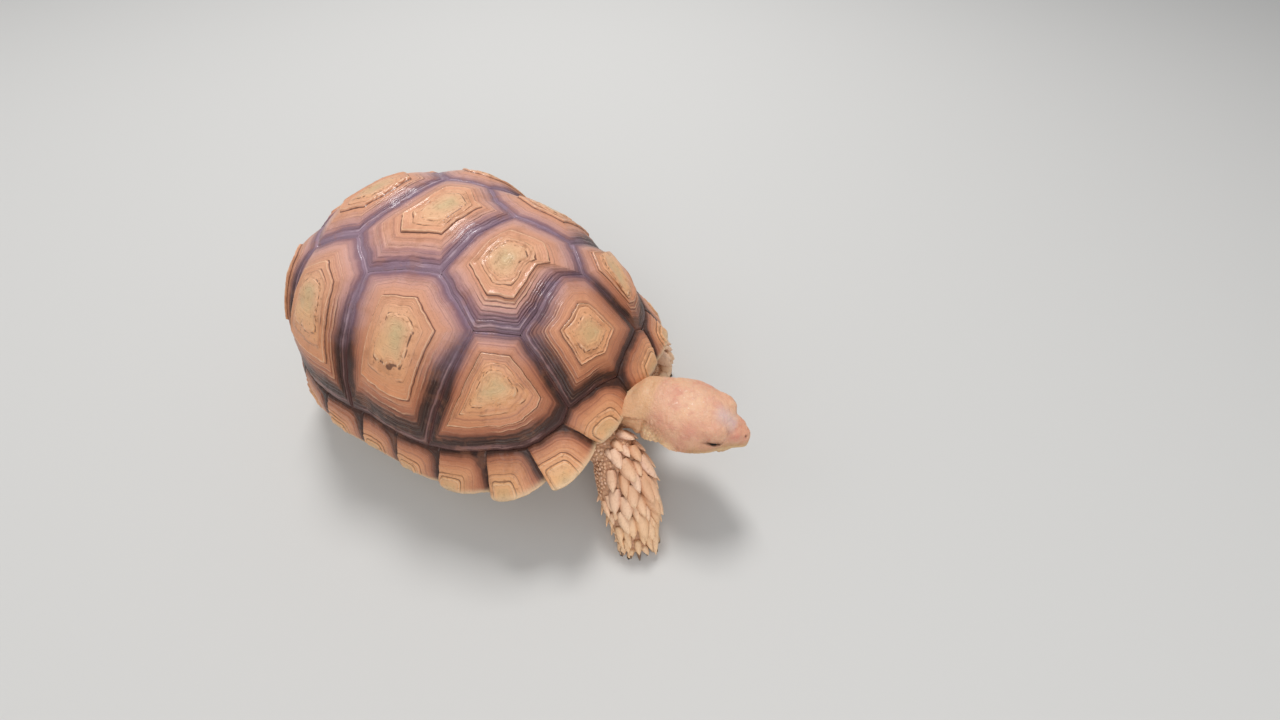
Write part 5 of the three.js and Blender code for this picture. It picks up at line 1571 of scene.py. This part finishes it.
# %% Node group: growth rings
rings_group, g, enter, leave = group(
    "growth_rings", [("Age", "Float", 0.0), ("Own", "Float", 0.0), ("Lines", "Float", 40.0)],
    [("Bands", "Float"), ("Fine", "Float"), ("Height", "Float")])
warped = g.plus(enter["Age"], g.swing(g.noise(g.place(), 90.0), 0.035))
along = g.times(g.plus(warped, g.times(enter["Own"], 7.0)), enter["Lines"])
bands, fine = g.bands(along, 0.38, 3.0), g.bands(along, 1.9, 1.0)
g.fill(leave, {"Bands": bands, "Fine": fine, "Height": g.plus(g.times(bands, 0.7), g.times(fine, 0.5))})
print(rings_group.name, "has", len(g.tree.nodes), "nodes")

# %% [markdown]
# ### Grime and patches
# Broad patches shift the tone of the horn and hide, and a fine grain breaks up their gloss. Both are
# noise on the place of the point, with the grain twelve times finer than the patches.

# %% Node group: grime and patches
patch_group, g, enter, leave = group(
    "mottling", [("Size", "Float", 100.0)], [("Patches", "Float"), ("Grain", "Float")])
g.fill(leave, {"Patches": g.noise(g.place(), enter["Size"], 4.0, 0.6),
               "Grain": g.noise(g.place(), g.times(enter["Size"], 12.0), 3.0, 0.6)})
print(patch_group.name, "has", len(g.tree.nodes), "nodes")

# %% [markdown]
# ### Horn of the back
# The horn goes from straw at the areola through orange to nearly black at the newest edge. High on the
# back the dark edge is lighter and violet, so two ramps over the age are blended by height. Over them lie
# fine brown and pale lines, a painted highlight on the lips and painted shade in the grooves of the steps,
# a greenish grey on worn areolas, crumbs of dirt, and the bone colour of the rim's edge and under side.

# %% Horn of the back
horn, n, shader = finish("carapace_horn", 0.40, Coat_Weight=0.26, Coat_Roughness=0.14, IOR=1.5,
                         Specular_IOR_Level=0.3)
age, fast, lip, own, rim = n.attributes("age", "fast", "lip", "own", "rim")
rings = use_group(n, rings_group, {"Age": age, "Own": own, "Lines": 46.0})
mottle = use_group(n, patch_group, {"Size": 70.0})
shift = n.plus(n.swing(mottle["Patches"], 0.15), n.swing(rings["Bands"], 0.12))
quick_side = n.times(n.minus(fast, 0.45), n.step(age, 0.5, 0.75, 0.0, 0.12))
tone = n.plus(n.plus(age, shift), quick_side)
tone = n.mix(n.step(age, 0.93, 0.97), tone, age)
# The last stops of both ramps make the seam itself paler: partly the horn's own seam line, partly a painted
# highlight along the seam.
flank = n.ramp(tone, [
    (0.00, (216, 172, 122)), (0.16, (230, 174, 124)), (0.30, (230, 165, 117)), (0.45, (218, 149, 106)),
    (0.57, (200, 130, 92)), (0.70, (176, 108, 76)), (0.78, (130, 74, 50)), (0.84, (74, 38, 22)),
    (0.90, (50, 24, 14)), (0.955, (60, 31, 26)), (0.985, (88, 54, 50)), (1.0, (128, 92, 88))])
# The crest ramp is lighter and more violet at the dark edge; it holds high on the back.
crest = n.ramp(tone, [
    (0.00, (212, 178, 134)), (0.16, (228, 180, 138)), (0.30, (232, 174, 134)), (0.45, (224, 162, 126)),
    (0.60, (214, 153, 124)), (0.72, (210, 157, 142)), (0.82, (184, 136, 131)), (0.89, (138, 100, 108)),
    (0.94, (132, 101, 115)), (0.985, (157, 129, 145)), (1.0, (182, 156, 168))])
height = n.plus(n.add("SeparateXYZ", {"Vector": n.place()}, out="Z"), n.swing(mottle["Patches"], 0.03))
high = n.step(height, 0.094, 0.124)
print("ramps over the age of the horn: flank and crest, blended by height")

# %% Lines, lips and grime of the horn
stain = n.times(n.step(n.noise(n.place(), 95.0, 3.0, 0.6), 0.50, 0.66), n.step(age, 0.12, 0.3))
border = n.step(tone, 0.72, 0.86)
inner = n.minus(1.0, border)
line = n.times(n.step(rings["Bands"], 0.56, 0.70), n.step(age, 0.22, 0.42, 0.0, 0.36))
pale_line = n.times(n.step(rings["Fine"], 0.60, 0.74), n.step(age, 0.25, 0.5, 0.0, 0.22))
violet = n.times(n.step(rings["Fine"], 0.45, 0.75), border)
# Painted highlight on the lip of each step, and painted shade in the groove at its foot.
lip_highlight = n.times(n.step(lip, 0.1, 0.8, 0.0, 0.62), n.step(tone, 0.66, 0.84, 1.0, 0.12))
groove = n.times(n.step(lip, -0.12, -0.7, 0.0, 0.80), n.step(tone, 0.70, 0.88, 1.0, 0.6))
greenish = n.times(n.step(age, 0.26, 0.08), n.step(mottle["Patches"], 0.40, 0.62))
greenish = n.times(greenish, n.step(rim, 0.05, 0.3, 0.45, 0.0))
crumbs = n.times(n.step(age, 0.42, 0.30), n.step(n.noise(n.place(), 380.0, 4.0, 0.65), 0.54, 0.68))
crumbs = n.times(crumbs, n.step(age, 0.14, 0.30, 0.35, 0.65))
# Among these layers are the painted lip highlight and the painted shade in the grooves.
colour = n.layers(
    n.mix(high, flank, crest), (stain, 0.30, (168, 108, 76)), (n.times(line, inner), (140, 84, 66)),
    (n.times(pale_line, inner), (232, 190, 150)),
    (violet, 0.30, n.mix(high, srgb(92, 56, 44), srgb(150, 120, 130))), (lip_highlight, (244, 204, 164)),
    (groove, n.mix(high, srgb(78, 42, 28), srgb(84, 48, 42))), (greenish, (186, 172, 128)),
    (crumbs, (150, 98, 62)), (n.step(rim, 0.25, 0.95, 0.0, 0.75), (226, 196, 158)),
    (n.step(age, 1.3, 2.0), n.mix(rings["Bands"], srgb(206, 172, 128), srgb(232, 204, 164))),
    (n.step(mottle["Grain"], 0.55, 0.75, 0.0, 0.22), (96, 66, 54)))
n.fill(shader, {"Base Color": colour, "Roughness": n.plus(n.times(mottle["Grain"], 0.22), 0.34),
                "Normal": n.bumps((rings["Height"], 0.00055), (mottle["Grain"], 0.00018))})
put_on(back_plates + rim_plates, horn)

# %% [markdown]
# ### Horn of the plastron
# The ground wears the plastron smooth and pale. Only the seams stay dark, the rings show as faint
# brown lines, and painted shade darkens the grooves at the foot of the steps.

# %% Horn of the plastron
belly, n, shader = finish("plastron_horn", 0.5, Coat_Weight=0.08, Coat_Roughness=0.3)
age, lip, own = n.attributes("age", "lip", "own")
rings = use_group(n, rings_group, {"Age": age, "Own": own, "Lines": 40.0})
mottle = use_group(n, patch_group, {"Size": 55.0})
tone = n.plus(age, n.swing(mottle["Patches"], 0.3))
colour = n.ramp(tone, [(0.0, (190, 150, 100)), (0.35, (216, 182, 132)), (0.7, (228, 198, 152)),
                       (0.93, (206, 170, 126)), (0.985, (146, 112, 84)), (1.0, (120, 92, 76))])
colour = n.layers(colour, (n.step(rings["Bands"], 0.5, 0.68, 0.0, 0.40), (170, 122, 82)),
                  # Painted shade in the groove at the foot of each step.
                  (n.step(lip, -0.15, -0.8, 0.0, 0.6), (120, 84, 60)))
n.fill(shader, {"Base Color": colour, "Roughness": n.plus(n.times(mottle["Grain"], 0.25), 0.36),
                "Normal": n.bumps((rings["Height"], 0.0003), (mottle["Grain"], 0.00015))})
put_on(plastron_plates, belly)

# %% [markdown]
# ### Hide
# The hide is peach on the head, with pink where blood shows at the nose and cheek, a grey lilac cast on
# the snout, and yellow tan on the nape. A little subsurface light softens it, as in real skin.

# %% Hide
hide, n, shader = finish("hide", 0.5, Subsurface_Weight=0.12, Subsurface_Scale=0.0015,
                         Subsurface_Radius=(1.0, 0.45, 0.25), Specular_IOR_Level=0.4)
gap, pink, lilac, horn_edge, lids, head, nape, leg, cell, pale, jaw, throat = n.attributes(
    "gap", "pink", "lilac", "horn", "lids", "head", "nape", "leg", "cell", "pale", "jaw", "throat")
mottle = use_group(n, patch_group, {"Size": 120.0})
broad = n.step(n.noise(n.place(), 45.0), 0.45, 0.62, 0.0, 0.45)
blotches = n.step(mottle["Patches"], 0.46, 0.62, 0.0, 0.5)
flakes = n.times(pale, n.step(n.noise(n.place(), 620.0, 3.0), 0.60, 0.70))
# Painted shade among these layers: jaw darkens the lower front of the head; gap darkens the grooves between
# scales, the creases of the lids and mouth and the skin under the nape's hem, more on the legs; lids darkens
# the eye slits, a ring round them and the nostrils.
colour = n.layers(
    n.mix(head, srgb(208, 160, 124), srgb(220, 167, 134)), (pale, 0.5, (228, 188, 166)),
    (nape, 0.9, (220, 172, 130)), (n.times(head, broad), (232, 184, 142)),
    (n.times(head, blotches), (210, 144, 124)), (jaw, 0.75, (180, 136, 86)), (throat, 0.75, (246, 216, 168)),
    (pink, 0.62, (208, 128, 112)), (flakes, 0.7, (250, 226, 206)), (lilac, 0.75, (214, 182, 178)),
    (horn_edge, 0.75, (214, 182, 136)), (n.step(cell, 0.2, 1.0, 0.0, 0.16), (240, 206, 172)),
    (gap, 0.42, (160, 100, 78)), (n.times(gap, leg), 0.25, (140, 98, 76)), (lids, (96, 58, 36)))
pores = n.add("TexVoronoi", {"Vector": n.place(), "Scale": 1150.0}, feature="F1")
n.fill(shader, {"Base Color": colour, "Roughness": n.plus(n.times(mottle["Patches"], 0.25), 0.38),
                "Normal": n.bumps((n.minus(1.0, pores), 0.00022), (mottle["Grain"], 0.00012))})
skin.data.materials.clear()
put_on([skin], hide)

# %% [markdown]
# ### Scales and claws
# The big scales are drier than the hide: tan, with streaks along them. Each has its own tone. Painted light
# makes the tips, the crowns and the lower leg lighter, and painted shade darkens the roots. The claws are
# dark horn, paler in patches.

# %% Scales
plate, n, shader = finish("leg_scales", 0.5, Specular_IOR_Level=0.45)
tip, crown, own, share = n.attributes("tip", "crown", "own", "share")
mottle = use_group(n, patch_group, {"Size": 160.0})
# Painted light and shade along each scale: darker at the root, lighter at the tip.
colour = n.ramp(n.plus(tip, n.swing(mottle["Patches"], 0.5)), [
    (0.0, (196, 142, 108)), (0.3, (218, 166, 130)), (0.65, (236, 188, 152)), (0.9, (248, 212, 174)),
    (1.0, (250, 228, 198))])
# Painted light: the scales are lightened near the floor.
low = n.step(n.add("SeparateXYZ", {"Vector": n.place()}, out="Z"), 0.040, 0.012, 0.0, 0.50)
stretched = n.add("VectorMath", {0: n.place(), 1: (1.0, 1.0, 0.14)}, out="Vector", operation="MULTIPLY")
streaks = n.noise(stretched, 900.0, 3.0)
colour = n.layers(
    colour, (n.step(own, 0.40, 0.05, 0.0, 0.50), (202, 140, 96)),
    (n.step(own, 0.60, 0.95, 0.0, 0.50), (242, 206, 184)), (low, (255, 208, 152)),
    (n.step(streaks, 0.48, 0.36, 0.0, 0.35), (184, 126, 88)),
    # Painted shade at the root of each scale, and a painted highlight on its crown.
    (n.step(crown, 0.34, 0.0, 0.0, 0.55), (150, 98, 70)),
    (n.step(crown, 0.35, 0.9, 0.0, 0.35), (248, 212, 174)),
    # Painted light: the scales are lightened towards the foot.
    (n.step(share, 0.55, 0.95, 0.0, 0.2), (246, 212, 172)))
n.fill(shader, {"Base Color": colour, "Roughness": n.plus(n.times(mottle["Patches"], 0.2), 0.34),
                "Normal": n.bumps((streaks, 0.00035), (mottle["Grain"], 0.00016))})
put_on(coat, plate)

# %% Claws' horn
nail, n, shader = finish("claw_horn", 0.35, Coat_Weight=0.2, Coat_Roughness=0.2)
mottle = use_group(n, patch_group, {"Size": 140.0})
colour = n.ramp(mottle["Patches"], [(0.3, (92, 66, 50)), (0.55, (128, 94, 68)), (0.8, (168, 130, 94))])
n.fill(shader, {"Base Color": colour, "Normal": n.bumps((mottle["Grain"], 0.00015))})
put_on(claws, nail)

# %% [markdown]
# ### Wet eyes
# Pupil, iris and the brown ball round them are one ramp over the angle from the gaze. A clear coat gives
# the wet gloss.

# %% Wet eyes
wet, n, shader = finish("eye_wet", 0.25, Coat_Weight=0.22, Coat_Roughness=0.03, Specular_IOR_Level=0.1)
streaks = n.noise(n.place(), 900.0, 3.0)
[gaze] = n.attributes("gaze")
colour = n.ramp(n.times(n.plus(gaze, n.times(streaks, 6.0)), 0.01), [
    (0.0, (12, 7, 4)), (0.24, (14, 8, 5)), (0.28, (84, 54, 28)), (0.46, (104, 70, 40)), (0.52, (50, 31, 19)),
    (1.0, (66, 42, 28))])
n.fill(shader, {"Base Color": colour})
put_on(eyes, wet)

# %% [markdown]
# ## The studio
# The camera looks down on the head and shoulders from the animal's right, close and with a wide lens,
# so the near side of the shell looms large. Its pose is written in the animal's own frame.

# %% Camera
camera = bpy.data.objects.new("camera", bpy.data.cameras.new("camera"))
bpy.context.collection.objects.link(camera)
camera.data.sensor_width = 36.0
camera.data.lens = 13.59
camera.data.clip_start = 0.01
AZ, EL, ROLL, REACH, TARGET = -1.0542, 0.9120, 0.0466, 378.55, np.array([73.297, 65.955, 2.11])
back = np.array([math.cos(AZ) * math.cos(EL), math.sin(AZ) * math.cos(EL), math.sin(EL)])
right = unit(np.cross(-back, [0, 0, 1.0]))
up = np.cross(right, -back)
turned_right = right * math.cos(ROLL) + up * math.sin(ROLL)
turned_up = up * math.cos(ROLL) - right * math.sin(ROLL)
axes = [unit(to_row(v) - to_row([0, 0, 0])) for v in (turned_right, turned_up, back)]
pose = np.eye(4)
pose[:3, :3], pose[:3, 3] = np.stack(axes, -1), to_row(TARGET + back * REACH)
camera.matrix_world = Matrix(pose.tolist())
bpy.context.scene.camera = camera
print("camera at", [round(c, 4) for c in camera.location])

# %% [markdown]
# ### Floor and light
# A plain pale floor, one softbox high behind the shell that rakes over the rings of the plates, a wide
# fill from the camera's side so that the near flank stays readable, and an even grey sky.

# %% Floor and light
def lamp(name, place, aim, size, power):
    """An area lamp at a place in metres, turned to its aim."""
    light = bpy.data.lights.new(name, "AREA")
    light.size, light.energy = size, power
    made = bpy.data.objects.new(name, light)
    bpy.context.collection.objects.link(made)
    made.location = place
    made.rotation_euler = (Vector(aim) - Vector(place)).to_track_quat("-Z", "Y").to_euler()


bpy.ops.mesh.primitive_plane_add(size=30)
floor = bpy.context.object
floor.name = "floor"
paper, _, shader = finish("floor_paper", 0.8, Base_Color=(0.60, 0.59, 0.57, 1))
put_on([floor], paper)
lamp("key", (0.75, 0.55, 1.7), (0, 0, 0.06), 0.5, 22)
lamp("fill", (-0.9, -0.9, 0.8), (0, 0, 0.05), 1.2, 9)
lamp("back", (-0.6, 1.1, 0.9), (0, 0, 0.08), 0.9, 2)
world = bpy.data.worlds.new("studio")
bpy.context.scene.world = world
world.use_nodes = True
world.node_tree.nodes["Background"].inputs["Color"].default_value = (0.95, 0.97, 1.0, 1)
world.node_tree.nodes["Background"].inputs["Strength"].default_value = 0.42
bpy.context.scene.view_settings.view_transform = "Standard"
